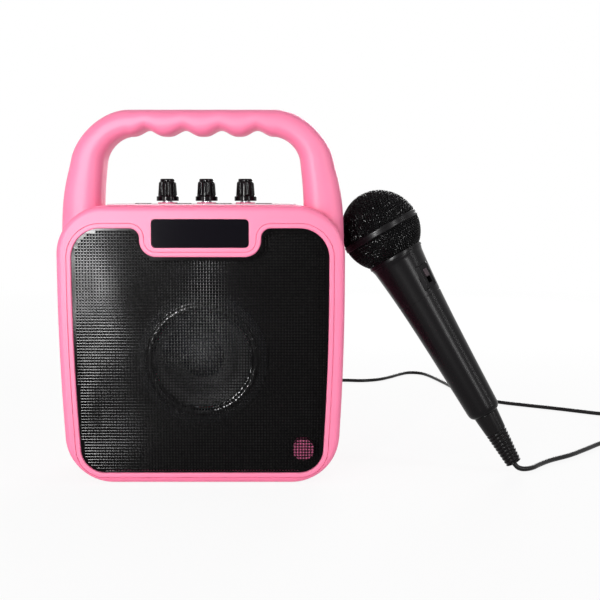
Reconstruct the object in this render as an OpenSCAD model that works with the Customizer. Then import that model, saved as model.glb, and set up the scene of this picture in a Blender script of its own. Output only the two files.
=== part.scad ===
// Portable karaoke speaker with a carrying handle and a corded microphone.
// Millimetres. +X is right seen from the front, the front faces -Y, +Z is up.
// The origin is on the table, under the middle of the casing.

/* [Casing] */
// Width of the casing where it is widest
body_w = 175; // [160:1:200]
// Height of the casing's top above the table
body_h = 170.5; // [160:0.5:190]
// Depth from the front face to the back
body_d = 78; // [72:1:100]
// Wall of the casing
wall = 2.5; // [2:0.1:3]
// Radius of the four corners in the front view
corner_r = 30; // [26:1:34]
// How much narrower each side is at the table
side_taper = 5; // [0:0.5:8]
// Height of the widest level
widest_z = 125; // [115:1:130]
// Rounding of the back edge
back_edge_r = 8; // [5:0.5:11]
// Radius of a rubber foot, set flush into the underside
foot_r = 5; // [4:0.5:5.5]
// Thickness of a rubber foot
foot_t = 1.2; // [0.8:0.1:1.6]

/* [Front frame] */
// Depth of the front frame
frame_d = 10; // [9:0.5:13]
// Thickness of the frame's face
face_t = 3; // [2.5:0.1:3.4]
// Rounding of the frame's front edge
front_edge_r = 3.5; // [2:0.5:5]
// How far the frame stands in from the casing's outline
frame_step = 0.5; // [0.2:0.1:1]
// Width of the grille ring outside the grille
ring_w = 2.7; // [2:0.1:3.2]
// Width of the fine groove round the ring
seam = 0.3; // [0.2:0.05:0.5]

/* [Grille] */
// Width of the frame beside the grille opening
grille_side = 9.7; // [9.4:0.1:12]
// Height of the opening's lower edge
grille_bottom_z = 6.8; // [6.6:0.1:9]
// From the casing's top down to the opening's upper edge
grille_drop = 13.7; // [12:0.1:16]
// Lower corner radius of the opening
grille_low_r = 15; // [12:1:18]
// Upper corner radius of the opening
grille_high_r = 18; // [14:1:20]
// Thickness of the perforated plate
grille_t = 0.8; // [0.5:0.1:1.2]
// How deep the grille lies behind the face
grille_recess = 0.8; // [0.4:0.1:1.2]

/* [Display] */
// Width of the bridge that carries the window
bridge_w = 73.2; // [70:0.2:78]
// From the casing's top down to the bridge's lower edge
bridge_drop = 31; // [30:0.5:34]
// Radius of the bridge's lower corners
bridge_r = 10; // [8:0.5:12]
// Radius where the bridge meets the frame
bridge_root_r = 6; // [4:0.5:7]
// Width of the display window
window_w = 58.4; // [50:0.2:60]
// Height of the display window
window_h = 17; // [12:0.5:17.5]
// From the casing's top down to the window's middle
window_drop = 16.9; // [16:0.1:18]
// Corner radius of the window
window_r = 2.4; // [1:0.2:4]
// Thickness of the window
window_t = 1.4; // [1:0.1:2]

/* [Handle] */
// Height of the handle above the casing
handle_h = 58.1; // [50:0.5:70]
// How far the handle reaches in front of the parting line
handle_front = 13.1; // [11:0.1:13.3]
// How far the handle reaches behind the parting line
handle_back = 22; // [13:0.5:24]
// Width of a leg at its root
leg_w = 25; // [20:0.5:27]
// Thickness of the grip between the finger hollows
grip_t = 16; // [14:0.5:19]
// How far the shoulders lean in from the casing's side
shoulder_in = 7.5; // [4:0.5:10]
// From the handle's top down to the shoulder
shoulder_drop = 28; // [25:0.5:32]
// Distance between finger hollows
finger_pitch = 22.4; // [20:0.2:24]
// Depth of a finger hollow
finger_depth = 3.7; // [2:0.1:5]
// Narrowness of a finger hollow, 1 is as wide as the bump beside it
finger_power = 1.5; // [1:0.1:3]
// Roundness of the handle's section, 2 is an ellipse
section_power = 2.8; // [2:0.1:4]

/* [Control deck] */
// From the casing's side in to the deck's end
deck_in = 32.5; // [32.5:0.5:35.5]
// Depth of the deck behind the front face, to its front edge
deck_front = 13; // [12:0.5:14]
// Front to back length of the deck
deck_l = 55; // [52:0.5:58]
// Thickness of the pale plate on the deck
overlay_t = 0.8; // [0.5:0.1:1.2]
// Height of the bosses round the knobs above the pale plate
boss_h = 0.8; // [0.4:0.1:1.2]
// Radius of a boss
boss_r = 6.2; // [5.4:0.1:7]
// Distance between knobs
knob_pitch = 25; // [23:0.5:27]
// Depth of the knobs behind the front face
knob_depth = 46; // [44:0.5:48]
// Height of a knob
knob_h = 14.1; // [12:0.1:18]
// Radius of a knob's skirt
skirt_r = 7.1; // [6:0.1:8]
// Height of a knob's skirt
skirt_h = 3; // [2:0.1:4]
// Radius of a knob's fluted body above the skirt
knob_r = 6.1; // [5.2:0.1:6.4]
// Radius of a knob's top
knob_top_r = 4.6; // [4:0.1:5]
// Number of flutes
flutes = 9; // [6:1:12]
// Gap between a boss and its knob
knob_gap = 0.9; // [0.6:0.1:1.5]
// Radius of a knob's shaft
shaft_r = 3; // [2:0.1:3.2]
// Depth of the buttons behind the front face
button_depth = 25; // [22:0.5:27]
// Length of a button
button_l = 10; // [8:0.2:12]
// Width of a button
button_w = 5; // [4:0.2:6]
// How far a button stands above the deck
button_proud = 0.4; // [0.2:0.1:1]
// Travel of a button
button_travel = 0.8; // [0.4:0.1:1]
// Distance from the casing's underside of the top wall to the control board
board_drop = 11.5; // [11:0.5:13]

/* [Driver] */
// Height of the driver's middle
driver_z = 76; // [70:1:80]
// Outer radius of the driver's flange
driver_r = 40; // [38:0.5:44]
// Width of the flange that lies on the baffle
flange_w = 4.1; // [3.6:0.1:4.6]
// Width of the soft ring between the flange and the cone
surround_w = 5.6; // [5:0.1:7]
// Radius of the dust cap
dust_cap_r = 12.5; // [10:0.5:14]
// Radius of the magnet
magnet_r = 22.5; // [20:0.5:25]
// Thickness of the magnet
magnet_t = 8; // [6:0.5:10]
// Thickness of the baffle board
baffle_t = 2.5; // [2:0.1:3]
// Radius of the mesh support post
post_r = 6.6; // [4:0.1:8]
// From the casing's side in to the middle of the post
post_in = 25.5; // [23.5:0.5:31.5]
// Height of the post
post_z = 21; // [19:1:26]

/* [Back] */
// Width of the back plate
plate_w = 76; // [72:1:84]
// Height of the back plate
plate_h = 40; // [38:1:46]
// Height of the back plate's middle
plate_z = 46; // [46:1:50]
// Thickness of the back plate
plate_t = 1.4; // [1:0.1:1.6]
// Radius of a jack's bore
jack_r = 1.8; // [1.78:0.01:1.85]
// Radius of the plug's pin
pin_r = 1.75; // [1.6:0.01:1.75]
// Length of the pin and of the bore
pin_l = 14; // [10:0.5:16]
// Distance of the microphone jack from the middle
mic_jack_x = 28; // [26:0.5:29]
// Distance of the audio jack from the middle
aux_jack_x = 14; // [12:0.5:15]
// Travel of the power switch
power_travel = 3.5; // [2:0.1:4]

/* [Microphone] */
// Radius of the microphone's head
head_r = 25.4; // [23:0.1:28]
// How far the head's upper end stands out beyond a ball
dome_rise = 1.4; // [0:0.1:2.4]
// Width of the head's band
band_w = 4; // [3:0.2:5]
// How far the band stands out
band_proud = 0.4; // [0.2:0.1:0.8]
// Thickness of the mesh and its lining
mesh_t = 1.2; // [0.8:0.1:1.6]
// From the head's middle to the collar
collar_s = 17.6; // [16:0.1:19]
// From the head's middle to the barrel
barrel_s = 22.5; // [21:0.1:24]
// From the head's middle to the barrel's end
barrel_end_s = 134.6; // [120:0.2:140]
// From the head's middle to the boot's tip
boot_end_s = 171.3; // [168:0.1:176]
// Radius of the barrel under the collar
barrel_r = 17.1; // [15:0.1:17.6]
// Radius of the barrel at its end
barrel_end_r = 10.5; // [9:0.1:11]
// Wall of the barrel
barrel_wall = 1.8; // [1.2:0.1:2]
// Radius of the boot at the barrel
boot_r = 8.1; // [6:0.1:8.4]
// Radius of the boot's tip
boot_tip_r = 5; // [3.4:0.1:5.4]
// Number of ribs on the boot
boot_ribs = 10; // [6:1:12]
// Lean of the microphone from upright
mic_tilt = 30.3; // [28:0.1:33]
// Turn of the lean, seen from above
mic_yaw = -9.3; // [-12:0.1:0]
// Place of the head behind the middle of the casing
mic_y = 4; // [2:0.5:8]
// Height of the boot's tip
mic_tip_z = 5.8; // [5.8:0.1:8]
// Travel of the switch on the microphone
mic_switch_travel = 4; // [2:0.1:5]

/* [Lead] */
// Diameter of the lead
lead_d = 3.2; // [2.6:0.1:3.2]
// Turns of the coil in each of its two layers
coil_turns = 3; // [2:1:4]
// Gap between neighbouring turns
coil_gap = 0.5; // [0.45:0.05:1]
// Radius of the innermost turn, at the lead's middle
coil_inner_r = 11; // [10:0.5:14]

/* [Hidden] */

$fn = 48;

clear = 0.3;        // gap round a piece that drops into its seat
slip = 0.15;        // gap round a piece that fits snugly
running = 0.05;     // gap round a shaft in its bush
over = 0.5;         // how far a cutter runs past a face
board_t = 1.6;      // thickness of a circuit board

pink = [0.98, 0.55, 0.72];
black = [0.06, 0.06, 0.07];
pale = [0.88, 0.88, 0.9];
steel = [0.72, 0.73, 0.75];
green = [0.1, 0.4, 0.25];

// Levels in depth
half_w = body_w / 2;
front_y = -body_d / 2;
back_y = body_d / 2;
face_back_y = front_y + face_t;
join_y = front_y + frame_d;
part_y = join_y + handle_front + 0.4;
baffle_y = join_y;
baffle_back_y = baffle_y + baffle_t;
lip_t = 2.5;
lip_w = 7;
ring_flange_w = 5;
ring_flange_t = 1.5;
grille_y = front_y + grille_recess;
baffle_hole_r = driver_r - flange_w;
surround_r = baffle_hole_r - 0.6;
cone_r = surround_r - surround_w;
rim_in = wall + 1.7;

// Levels in height
floor_z = wall;
ceiling_z = body_h - wall;
deck_top = body_h + overlay_t;
boss_top = deck_top + boss_h;
knob_z = boss_top + knob_gap;
board_top = ceiling_z - board_drop + board_t;
handle_top = body_h + handle_h;
window_z = body_h - window_drop;

// ---- outlines -------------------------------------------------------------

function arc(cx, cz, r, a0, a1, n = 7) =
    [for (i = [0:n]) let (a = a0 + (a1 - a0) * i / n) [cx + r * cos(a), cz + r * sin(a)]];

function mirrored(right) =
    concat(right, [for (i = [len(right) - 1:-1:0]) [-right[i][0], right[i][1]]]);

function side_x(z) = half_w - side_taper * pow(max(0, (widest_z - z) / widest_z), 2);

// The casing in the front view, moved in by e all round
function casing_outline(e) =
    let (low = corner_r, high = body_h - corner_r)
    mirrored(concat(
        arc(side_x(low) - corner_r, low, corner_r - e, -90, 0),
        [for (i = [1:3]) let (z = low + (high - low) * i / 4) [side_x(z) - e, z]],
        arc(half_w - corner_r, high, corner_r - e, 0, 90)
    ));

// The grille's opening in the front view, moved out by e all round
function opening_outline(e) =
    let (low = grille_bottom_z + grille_low_r, high = body_h - grille_drop - grille_high_r,
         bridge_z = body_h - bridge_drop, half_bridge = bridge_w / 2)
    mirrored(concat(
        arc(side_x(low) - grille_side - grille_low_r, low, grille_low_r + e, -90, 0),
        [for (i = [1:3]) let (z = low + (high - low) * i / 4) [side_x(z) - grille_side + e, z]],
        arc(half_w - grille_side - grille_high_r, high, grille_high_r + e, 0, 90),
        arc(half_bridge + bridge_root_r, body_h - grille_drop - bridge_root_r, bridge_root_r + e,
            90, 180, 4),
        arc(half_bridge - bridge_r, bridge_z + bridge_r, bridge_r - e, 0, -90, 5)
    ));

function rounded_box(w, h, r, cx, cz) =
    concat(
        arc(cx + w / 2 - r, cz - h / 2 + r, r, -90, 0, 4),
        arc(cx + w / 2 - r, cz + h / 2 - r, r, 0, 90, 4),
        arc(cx - w / 2 + r, cz + h / 2 - r, r, 90, 180, 4),
        arc(cx - w / 2 + r, cz - h / 2 + r, r, 180, 270, 4)
    );

// ---- solids from outlines ---------------------------------------------------

// An outline of the front view, from y0 back to y1
module prism(points, y0, y1) {
    translate([0, y1, 0]) rotate([90, 0, 0]) linear_extrude(y1 - y0) polygon(points);
}

// A cylinder along Y, from y0 back to y1
module rod(x, z, r, y0, y1) {
    translate([x, y0, z]) rotate([-90, 0, 0]) cylinder(r = r, h = y1 - y0);
}

module box(x0, x1, y0, y1, z0, z1) {
    translate([x0, y0, z0]) cube([x1 - x0, y1 - y0, z1 - z0]);
}

// The faces between rings of n points each
function skin_faces(count, n) =
    [for (i = [0:count - 2]) for (k = [0:n - 1]) let (m = (k + 1) % n)
        each [[i * n + k, i * n + m, (i + 1) * n + m], [i * n + k, (i + 1) * n + m, (i + 1) * n + k]]];

// A skin through rings of equally many points, with both ends closed
module loft(rings) {
    n = len(rings[0]);
    last = (len(rings) - 1) * n;
    ends = [[for (k = [n - 1:-1:0]) k], [for (k = [0:n - 1]) last + k]];
    polyhedron([for (ring = rings) each ring], concat(skin_faces(len(rings), n), ends), convexity = 8);
}

function at_y(points, y) = [for (p = points) [p[0], y, p[1]]];

// The casing's outline moved in by e, from y0 back to y1, with its back edge rounded
module rounded_casing(e, y0, y1, r, steps = 4) {
    loft(concat(
        [at_y(casing_outline(e), y0)],
        [for (i = [0:steps]) let (a = 90 * i / steps)
            at_y(casing_outline(e + r * (1 - cos(a))), y1 - r + r * sin(a))]
    ));
}

// ---- the handle ---------------------------------------------------------------

function bezier(p0, p1, p2, p3, t) =
    p0 * pow(1 - t, 3) + p1 * 3 * t * pow(1 - t, 2) + p2 * 3 * t * t * (1 - t) + p3 * pow(t, 3);

grip_half = 2 * finger_pitch;
grip_under_z = handle_top - grip_t;
root_z = body_h - corner_r - 6;
leg_out = half_w - 0.4;
leg_in = leg_out - leg_w + 0.4;
shoulder = [half_w - shoulder_in, handle_top - shoulder_drop];
armpit = [half_w - leg_w - 2.4, grip_under_z - 15.5];

function leg_pair(t) = [
    bezier([leg_out, root_z], [leg_out + 0.8, body_h + 8], shoulder + [4, -18], shoulder, t),
    bezier([leg_in, root_z], [leg_in + 0.3, body_h + 8], armpit + [1.2, -12], armpit, t)
];
function corner_pair(t) = [
    bezier(shoulder, shoulder + [-4.8, 15], [grip_half + 14.5, handle_top], [grip_half, handle_top], t),
    bezier(armpit, armpit + [-1, 8], [grip_half + 7.5, grip_under_z - 1], [grip_half, grip_under_z], t)
];
function hollow_at(x) = finger_depth * pow(0.5 - 0.5 * cos(360 * x / finger_pitch), finger_power);
function grip_pair(x) = [[x, handle_top], [x, grip_under_z + hollow_at(x)]];

// Pairs of an outer and an inner point, from the right root over the top to the left root
half_arch = concat(
    [for (i = [0:4]) leg_pair(i / 5)],
    [for (i = [0:6]) corner_pair(i / 7)],
    [for (i = [16:-1:1]) grip_pair(grip_half * i / 16)]
);
arch = concat(
    half_arch,
    [grip_pair(0)],
    [for (i = [len(half_arch) - 1:-1:0]) [for (p = half_arch[i]) [-p[0], p[1]]]]
);

function power_curve(v) = sign(v) * pow(abs(v), 2 / section_power);

// A point of the section: a runs from the outer side over the front or back to the inner side
function section_point(pair, a, thin, side) =
    let (middle = (pair[0] + pair[1]) / 2, reach = (pair[0] - pair[1]) / 2,
         p = middle + reach * (1 - thin / norm(reach)) * power_curve(cos(a)),
         deep = side < 0 ? handle_front : handle_back)
    [p[0], part_y + side * (deep - thin) * power_curve(sin(a)), p[1]];

// Half of the hollow handle: side -1 is the front half, +1 the rear half.
// Each ring runs over the outside and back along the inside, so its two ends are strips.
module handle_half(side) {
    steps = 8;
    n = 2 * steps + 2;
    last = (len(arch) - 1) * n;
    rings = [for (pair = arch) concat(
        [for (k = [0:steps]) section_point(pair, 180 * k / steps, 0, side)],
        [for (k = [steps:-1:0]) section_point(pair, 180 * k / steps, wall, side)]
    )];
    first_end = [for (k = [0:steps - 1]) let (m = n - 1 - k) each [[k + 1, k, m], [k + 1, m, m - 1]]];
    last_end = [for (face = first_end) [for (i = [2:-1:0]) last + face[i]]];
    faces = concat(skin_faces(len(arch), n), first_end, last_end);
    polyhedron([for (ring = rings) each ring],
        side < 0 ? faces : [for (face = faces) [face[2], face[1], face[0]]], convexity = 8);
}

// ---- casing --------------------------------------------------------------------

case_screw_r = 1.5;
case_boss_r = 4.6;
case_head_r = 3;
case_head_t = 2;
case_head_depth = 7.5;
case_head_y = part_y + case_head_depth;
case_middle_z = 85;
case_screw_l = 15;
case_corner = 13.5;
case_screw_places = [
    for (s = [-1, 1]) each [
        [s * (half_w - corner_r + case_corner), body_h - corner_r + case_corner],
        [s * (side_x(case_middle_z) - wall - case_boss_r), case_middle_z],
        [s * (side_x(corner_r) - corner_r + case_corner), corner_r - case_corner]
    ]
];

foot_x = 48;
foot_front = 7;
foot_back = 12;
foot_places = [for (x = [-foot_x, foot_x]) each [[x, join_y + foot_front], [x, back_y - foot_back]]];

module foot_seats() {
    for (p = foot_places) translate([p[0], p[1], -over]) cylinder(r = foot_r + slip, h = foot_t + over);
}

deck_half_w = half_w - deck_in;
deck_y0 = front_y + deck_front;
deck_y1 = deck_y0 + deck_l;

module deck_opening() {
    box(-deck_half_w - clear, deck_half_w + clear, deck_y0 - clear, deck_y1 + clear,
        ceiling_z - 2 * over, body_h + over);
}

module front_frame() color(pink) difference() {
    union() {
        difference() {
            loft([
                for (i = [4:-1:0]) let (a = 90 * i / 4)
                    at_y(casing_outline(frame_step + front_edge_r * (1 - cos(a))),
                         front_y + front_edge_r * (1 - sin(a))),
                at_y(casing_outline(frame_step), join_y)
            ]);
            prism(casing_outline(rim_in), face_back_y, join_y + over);
        }
        prism(casing_outline(wall + slip), join_y - over, baffle_back_y - slip);
    }
    prism(casing_outline(rim_in), face_back_y, baffle_back_y + over);
    prism(opening_outline(ring_w + seam), front_y - over, face_back_y + over);
    prism(rounded_box(window_w + 2 * slip, window_h + 2 * slip, window_r + slip, 0, window_z),
          front_y - over, front_y + window_t);
    prism(rounded_box(window_w - 4, window_h - 4, window_r, 0, window_z), front_y, face_back_y + over);
}

module grille_ring() color(pink) difference() {
    union() {
        prism(opening_outline(ring_w), front_y, face_back_y);
        intersection() {
            prism(opening_outline(ring_flange_w), face_back_y, face_back_y + ring_flange_t);
            prism(casing_outline(rim_in + slip), face_back_y - over, face_back_y + ring_flange_t + over);
        }
    }
    prism(opening_outline(0), front_y - over, grille_y + grille_t);
    prism(opening_outline(-2), front_y, face_back_y + ring_flange_t + over);
}

module grille() color(black) prism(opening_outline(-slip), grille_y, grille_y + grille_t);

module display_window() color(black)
    prism(rounded_box(window_w, window_h, window_r, 0, window_z), front_y, front_y + window_t);

display_half_w = bridge_w / 2 - ring_flange_w - 2;
display_low_z = body_h - bridge_drop + ring_flange_w + 0.6;
display_high_z = body_h - 6;

module display_module() color([0.12, 0.2, 0.16]) {
    digits_t = 4;
    box(-display_half_w, display_half_w, face_back_y + digits_t, face_back_y + digits_t + board_t,
        display_low_z, display_high_z);
    box(-window_w / 2 + 4, window_w / 2 - 4, face_back_y, face_back_y + digits_t,
        window_z - window_h / 2 + 1.5, window_z + window_h / 2 - 1.5);
}

module baffle_board() color(black) difference() {
    prism(casing_outline(rim_in + clear), baffle_y, baffle_back_y);
    rod(0, driver_z, baffle_hole_r, baffle_y - over, baffle_back_y + over);
    for (p = driver_screw_places)
        rod(p[0], p[1], driver_screw_r + slip, baffle_y - over, baffle_back_y + over);
    box(-display_half_w + 6, display_half_w - 6, baffle_y - over, baffle_back_y + over,
        display_low_z + 6, display_low_z + 12);
}

module mesh_support_post() color(pink)
    rod(half_w - post_in, post_z, post_r, grille_y + grille_t + clear, baffle_y);

module front_shell() color(pink) difference() {
    union() {
        difference() {
            union() {
                prism(casing_outline(0), join_y, part_y);
                handle_half(-1);
            }
            prism(casing_outline(wall), join_y - over, part_y + over);
        }
        difference() {
            prism(casing_outline(wall - 0.1), baffle_back_y, baffle_back_y + lip_t);
            prism(casing_outline(wall + lip_w), baffle_back_y - over, baffle_back_y + lip_t + over);
        }
        for (p = case_screw_places) rod(p[0], p[1], case_boss_r, baffle_back_y, part_y);
    }
    for (p = case_screw_places)
        rod(p[0], p[1], case_screw_r + running, baffle_back_y + 1, part_y + over);
    deck_opening();
    foot_seats();
}

plate_rim = 2;
cradle_y0 = baffle_back_y + lip_t + 2;

module rear_shell() color(pink) difference() {
    union() {
        difference() {
            union() {
                rounded_casing(0, part_y, back_y, back_edge_r);
                handle_half(1);
            }
            rounded_casing(wall, part_y - over, back_y - wall, back_edge_r - wall);
        }
        for (p = case_screw_places) rod(p[0], p[1], case_boss_r, part_y, back_y - wall);
        for (p = board_post_places)
            translate([p[0], p[1], floor_z - over]) cylinder(r = board_post_r, h = board_z - floor_z + over);
    }
    for (p = case_screw_places) {
        rod(p[0], p[1], case_screw_r + clear, part_y - over, back_y);
        rod(p[0], p[1], case_head_r + clear, case_head_y, back_y + over);
    }
    prism(rounded_box(plate_w + 2 * slip, plate_h + 2 * slip, 3, 0, plate_z),
          back_y - plate_t, back_y + over);
    prism(rounded_box(plate_w - 2 * plate_rim, plate_h - 2 * plate_rim, 2, 0, plate_z),
          back_y - wall - over, back_y + over);
    deck_opening();
    foot_seats();
}

module case_screws() color(steel)
    for (p = case_screw_places) {
        rod(p[0], p[1], case_screw_r, case_head_y - case_screw_l, case_head_y);
        difference() {
            rod(p[0], p[1], case_head_r, case_head_y, case_head_y + case_head_t);
            for (turn = [0, 90])
                translate([p[0], case_head_y + case_head_t, p[1]]) rotate([0, turn, 0])
                    cube([case_head_r * 4 / 3, case_head_r * 2 / 3, case_head_t * 0.4], center = true);
        }
    }

module feet() color(black)
    for (p = foot_places) translate([p[0], p[1], 0]) cylinder(r = foot_r, h = foot_t);

// ---- control deck ----------------------------------------------------------------

knob_y = front_y + knob_depth;
knob_xs = [-knob_pitch, 0, knob_pitch];
button_y = front_y + button_depth;
button_xs = [for (i = [-1.5:1:1.5]) i * knob_pitch];
bush_r = 3.5;
bush_gap = 0.1;
deck_post_r = 2.6;
deck_post_x = deck_half_w - 5;
deck_post_places = [for (x = [-deck_post_x, deck_post_x]) each [[x, deck_y0 + 6], [x, deck_y1 - 6]]];

module button_pill(grow, h) {
    straight = (button_l - button_w) / 2;
    r = button_w / 2 + grow;
    translate([-straight, 0, 0]) cylinder(r = r, h = h);
    translate([straight, 0, 0]) cylinder(r = r, h = h);
    translate([-straight, -r, 0]) cube([2 * straight, 2 * r, h]);
}

module at_knobs(z) {
    for (x = knob_xs) translate([x, knob_y, z]) children();
}
module at_buttons(z) {
    for (x = button_xs) translate([x, button_y, z]) children();
}

module control_deck() color(pink) difference() {
    union() {
        box(-deck_half_w, deck_half_w, deck_y0, deck_y1, ceiling_z, body_h);
        at_knobs(body_h - over) cylinder(r = boss_r, h = boss_top - body_h + over);
        for (p = deck_post_places)
            translate([p[0], p[1], board_top]) cylinder(r = deck_post_r, h = ceiling_z - board_top + over);
    }
    at_knobs(ceiling_z - over) cylinder(r = bush_r + bush_gap, h = boss_top - ceiling_z + 2 * over);
    at_buttons(ceiling_z - over) button_pill(clear, wall + 2 * over);
}

overlay_rim = 2.2;

module deck_overlay() color(pale) difference() {
    box(-deck_half_w - overlay_rim, deck_half_w + overlay_rim, deck_y0 - 2, deck_y1 + overlay_rim,
        body_h, deck_top);
    at_knobs(body_h - over) cylinder(r = boss_r + slip, h = overlay_t + 2 * over);
    at_buttons(body_h - over) button_pill(clear, overlay_t + 2 * over);
}

pot_w = 12;
pot_h = 6.5;
shaft_foot = 2;
socket_h = 10;
flute_r = 1.5;
flute_floor = knob_top_r + 0.3;
grip_fit = 0.02;

module knob(x) color(black) translate([x, knob_y, knob_z]) difference() {
    union() {
        cylinder(r = skirt_r, h = skirt_h);
        difference() {
            rotate_extrude() polygon([
                [0, skirt_h - over], [knob_r, skirt_h - over], [knob_r, skirt_h],
                [knob_r - 0.6, knob_h - 2.6], [knob_r - 1, knob_h - 2],
                [knob_top_r, knob_h - 1.6], [knob_top_r, knob_h - 0.4],
                [knob_top_r - 0.4, knob_h], [0, knob_h]
            ]);
            for (i = [0:flutes - 1]) rotate([0, 0, (i + 0.5) * 360 / flutes])
                translate([flute_floor + flute_r, 0, skirt_h + 0.4])
                    cylinder(r = flute_r, h = knob_h, $fn = 24);
        }
    }
    translate([0, 0, -over]) cylinder(r = shaft_r + grip_fit, h = socket_h + over);
    translate([0, knob_top_r - 0.3, knob_h]) cube([0.9, 2 * knob_top_r, 0.8], center = true);
}

module shaft(x) color(steel)
    translate([x, knob_y, board_top + shaft_foot])
        cylinder(r = shaft_r, h = knob_z + socket_h - board_top - shaft_foot);

module potentiometers() color([0.3, 0.32, 0.35]) at_knobs(board_top) difference() {
    union() {
        translate([-pot_w / 2, -pot_w / 2, 0]) cube([pot_w, pot_w, pot_h]);
        cylinder(r = bush_r, h = boss_top + 0.4 - board_top);
    }
    translate([0, 0, shaft_foot]) cylinder(r = shaft_r + running, h = 40);
}

module control_board() color(green)
    box(-deck_half_w + 1, deck_half_w - 1, deck_y0 + 1, deck_y1 - 1, board_top - board_t, board_top);

switch_w = 6;
switch_h = board_drop - board_t - 5;
stem_r = 1.6;
button_flange_t = 1;

module push_button(i) color(black) translate([button_xs[i], button_y, 0]) {
    top = deck_top + button_proud;
    under = ceiling_z - button_flange_t - slip;
    translate([0, 0, under + button_flange_t - 0.1]) button_pill(0, top - under - button_flange_t + 0.1);
    translate([0, 0, under]) button_pill(1, button_flange_t);
    translate([0, 0, board_top + switch_h - 1]) cylinder(r = stem_r, h = under - board_top - switch_h + 1.1);
}

module tact_switches() color([0.2, 0.2, 0.22]) at_buttons(board_top) difference() {
    translate([-switch_w / 2, -switch_w / 2, 0]) cube([switch_w, switch_w, switch_h]);
    translate([0, 0, switch_h - 1 - button_travel - clear]) cylinder(r = stem_r + slip, h = switch_h);
}

// ---- loudspeaker driver ------------------------------------------------------------

driver_screw_r = 0.9;
driver_screw_places = [for (a = [45:90:315])
    [(baffle_hole_r + driver_r) / 2 * cos(a), driver_z + (baffle_hole_r + driver_r) / 2 * sin(a)]];
gasket_t = 0.5;
flange_t = 1.2;
basket_t = 1;
basket_d = 18;
coil_r = 8.3;
top_plate_t = 3;
flange_front = gasket_t + flange_t;

// A turned piece on the driver's axis: points are radius and depth behind the baffle's front
module turned(points) {
    translate([0, baffle_y, driver_z]) rotate([-90, 0, 0]) rotate_extrude($fn = 64) polygon(points);
}

module at_driver_screws(y0, y1, r) {
    for (p = driver_screw_places) rod(p[0], p[1], r, baffle_y + y0, baffle_y + y1);
}

module driver_gasket() color([0.15, 0.15, 0.15]) difference() {
    turned([[baffle_hole_r + 0.2, -gasket_t], [driver_r - 0.3, -gasket_t], [driver_r - 0.3, 0],
            [baffle_hole_r + 0.2, 0]]);
    at_driver_screws(-1, 1, driver_screw_r + slip);
}

module driver_basket() color([0.18, 0.18, 0.19]) difference() {
    foot = basket_d - basket_t;
    rim = baffle_hole_r - 0.4;
    turned([
        [rim - 1.6, -flange_front], [driver_r, -flange_front], [driver_r, -gasket_t], [rim, -gasket_t],
        [rim, 4], [magnet_r, basket_d], [coil_r + 1, basket_d], [coil_r + 1, foot],
        [magnet_r - 0.6, foot], [rim - 1.6, 3.6]
    ]);
    at_driver_screws(-3, 1, driver_screw_r + slip);
    for (a = [0:60:300]) translate([0, baffle_y + 5.5, driver_z]) rotate([0, a, 0])
        translate([-6, 0, magnet_r - 2]) cube([12, basket_d - 8, driver_r]);
}

module driver_surround() color([0.1, 0.1, 0.1])
    turned([
        [cone_r + clear, -flange_front], [surround_r, -flange_front], [surround_r, -flange_front - 0.5],
        [surround_r - 0.8, -flange_front - 0.6], [surround_r - 2, -flange_front - 1.9],
        [surround_r - 3.2, -flange_front - 1.9], [cone_r + clear + 0.6, -flange_front - 0.6],
        [cone_r + clear, -flange_front - 0.5]
    ]);

cone_t = 0.7;
cone_foot = 10;

module driver_cone() color([0.12, 0.12, 0.12])
    turned([
        [cone_r, -1], [cone_r, -1 + cone_t], [coil_r, cone_foot], [coil_r - 0.6, cone_foot],
        [coil_r - 0.6, cone_foot - 2 * cone_t]
    ]);

module driver_dust_cap() color([0.14, 0.14, 0.15]) {
    seat = cone_foot - 2 * cone_t - (dust_cap_r - coil_r + 0.6) / (cone_r - coil_r + 0.6)
        * (cone_foot - 2 * cone_t + 1);
    cap = [for (i = [0:6]) let (a = 90 * i / 6) [dust_cap_r * cos(a), seat - 0.1 - 4.5 * sin(a)]];
    inside = [for (i = [6:-1:0]) let (a = 90 * i / 6)
        [max(0, dust_cap_r * cos(a) - 0.7), seat - 0.1 - 3.8 * sin(a)]];
    turned(concat(cap, inside));
}

former_top = cone_foot;
former_end = basket_d + 6;

module voice_coil() color([0.75, 0.45, 0.25])
    turned([[coil_r - 0.35, former_top], [coil_r, former_top], [coil_r, former_end],
            [coil_r - 0.35, former_end]]);

spider_r = magnet_r - 1;
spider_s = basket_d - basket_t;

module driver_spider() color([0.75, 0.55, 0.3])
    turned([
        [coil_r + clear, spider_s - 3.5], [spider_r - 4, spider_s - 3.5], [spider_r - 3, spider_s - 0.5],
        [spider_r, spider_s - 0.5], [spider_r, spider_s], [spider_r - 3.6, spider_s],
        [spider_r - 4.6, spider_s - 3], [coil_r + clear, spider_s - 3]
    ]);

plate_s = basket_d + top_plate_t;
magnet_s = plate_s + magnet_t;

module magnet_top_plate() color(steel)
    turned([[coil_r + 0.5, basket_d], [magnet_r - 1.5, basket_d], [magnet_r - 1.5, plate_s],
            [coil_r + 0.5, plate_s]]);

module driver_magnet() color([0.25, 0.25, 0.27])
    turned([[coil_r + 2.5, plate_s], [magnet_r, plate_s], [magnet_r, magnet_s], [coil_r + 2.5, magnet_s]]);

module pole_piece() color(steel)
    turned([[0, basket_d + 0.3], [coil_r - 0.8, basket_d + 0.3], [coil_r - 0.8, magnet_s],
            [magnet_r - 1.5, magnet_s], [magnet_r - 1.5, magnet_s + 3], [0, magnet_s + 3]]);

module driver_screws() color(steel) {
    at_driver_screws(-flange_front, baffle_t, driver_screw_r);
    at_driver_screws(-flange_front - 0.9, -flange_front, 1.5);
}

// ---- back plate and boards -----------------------------------------------------------

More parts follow.
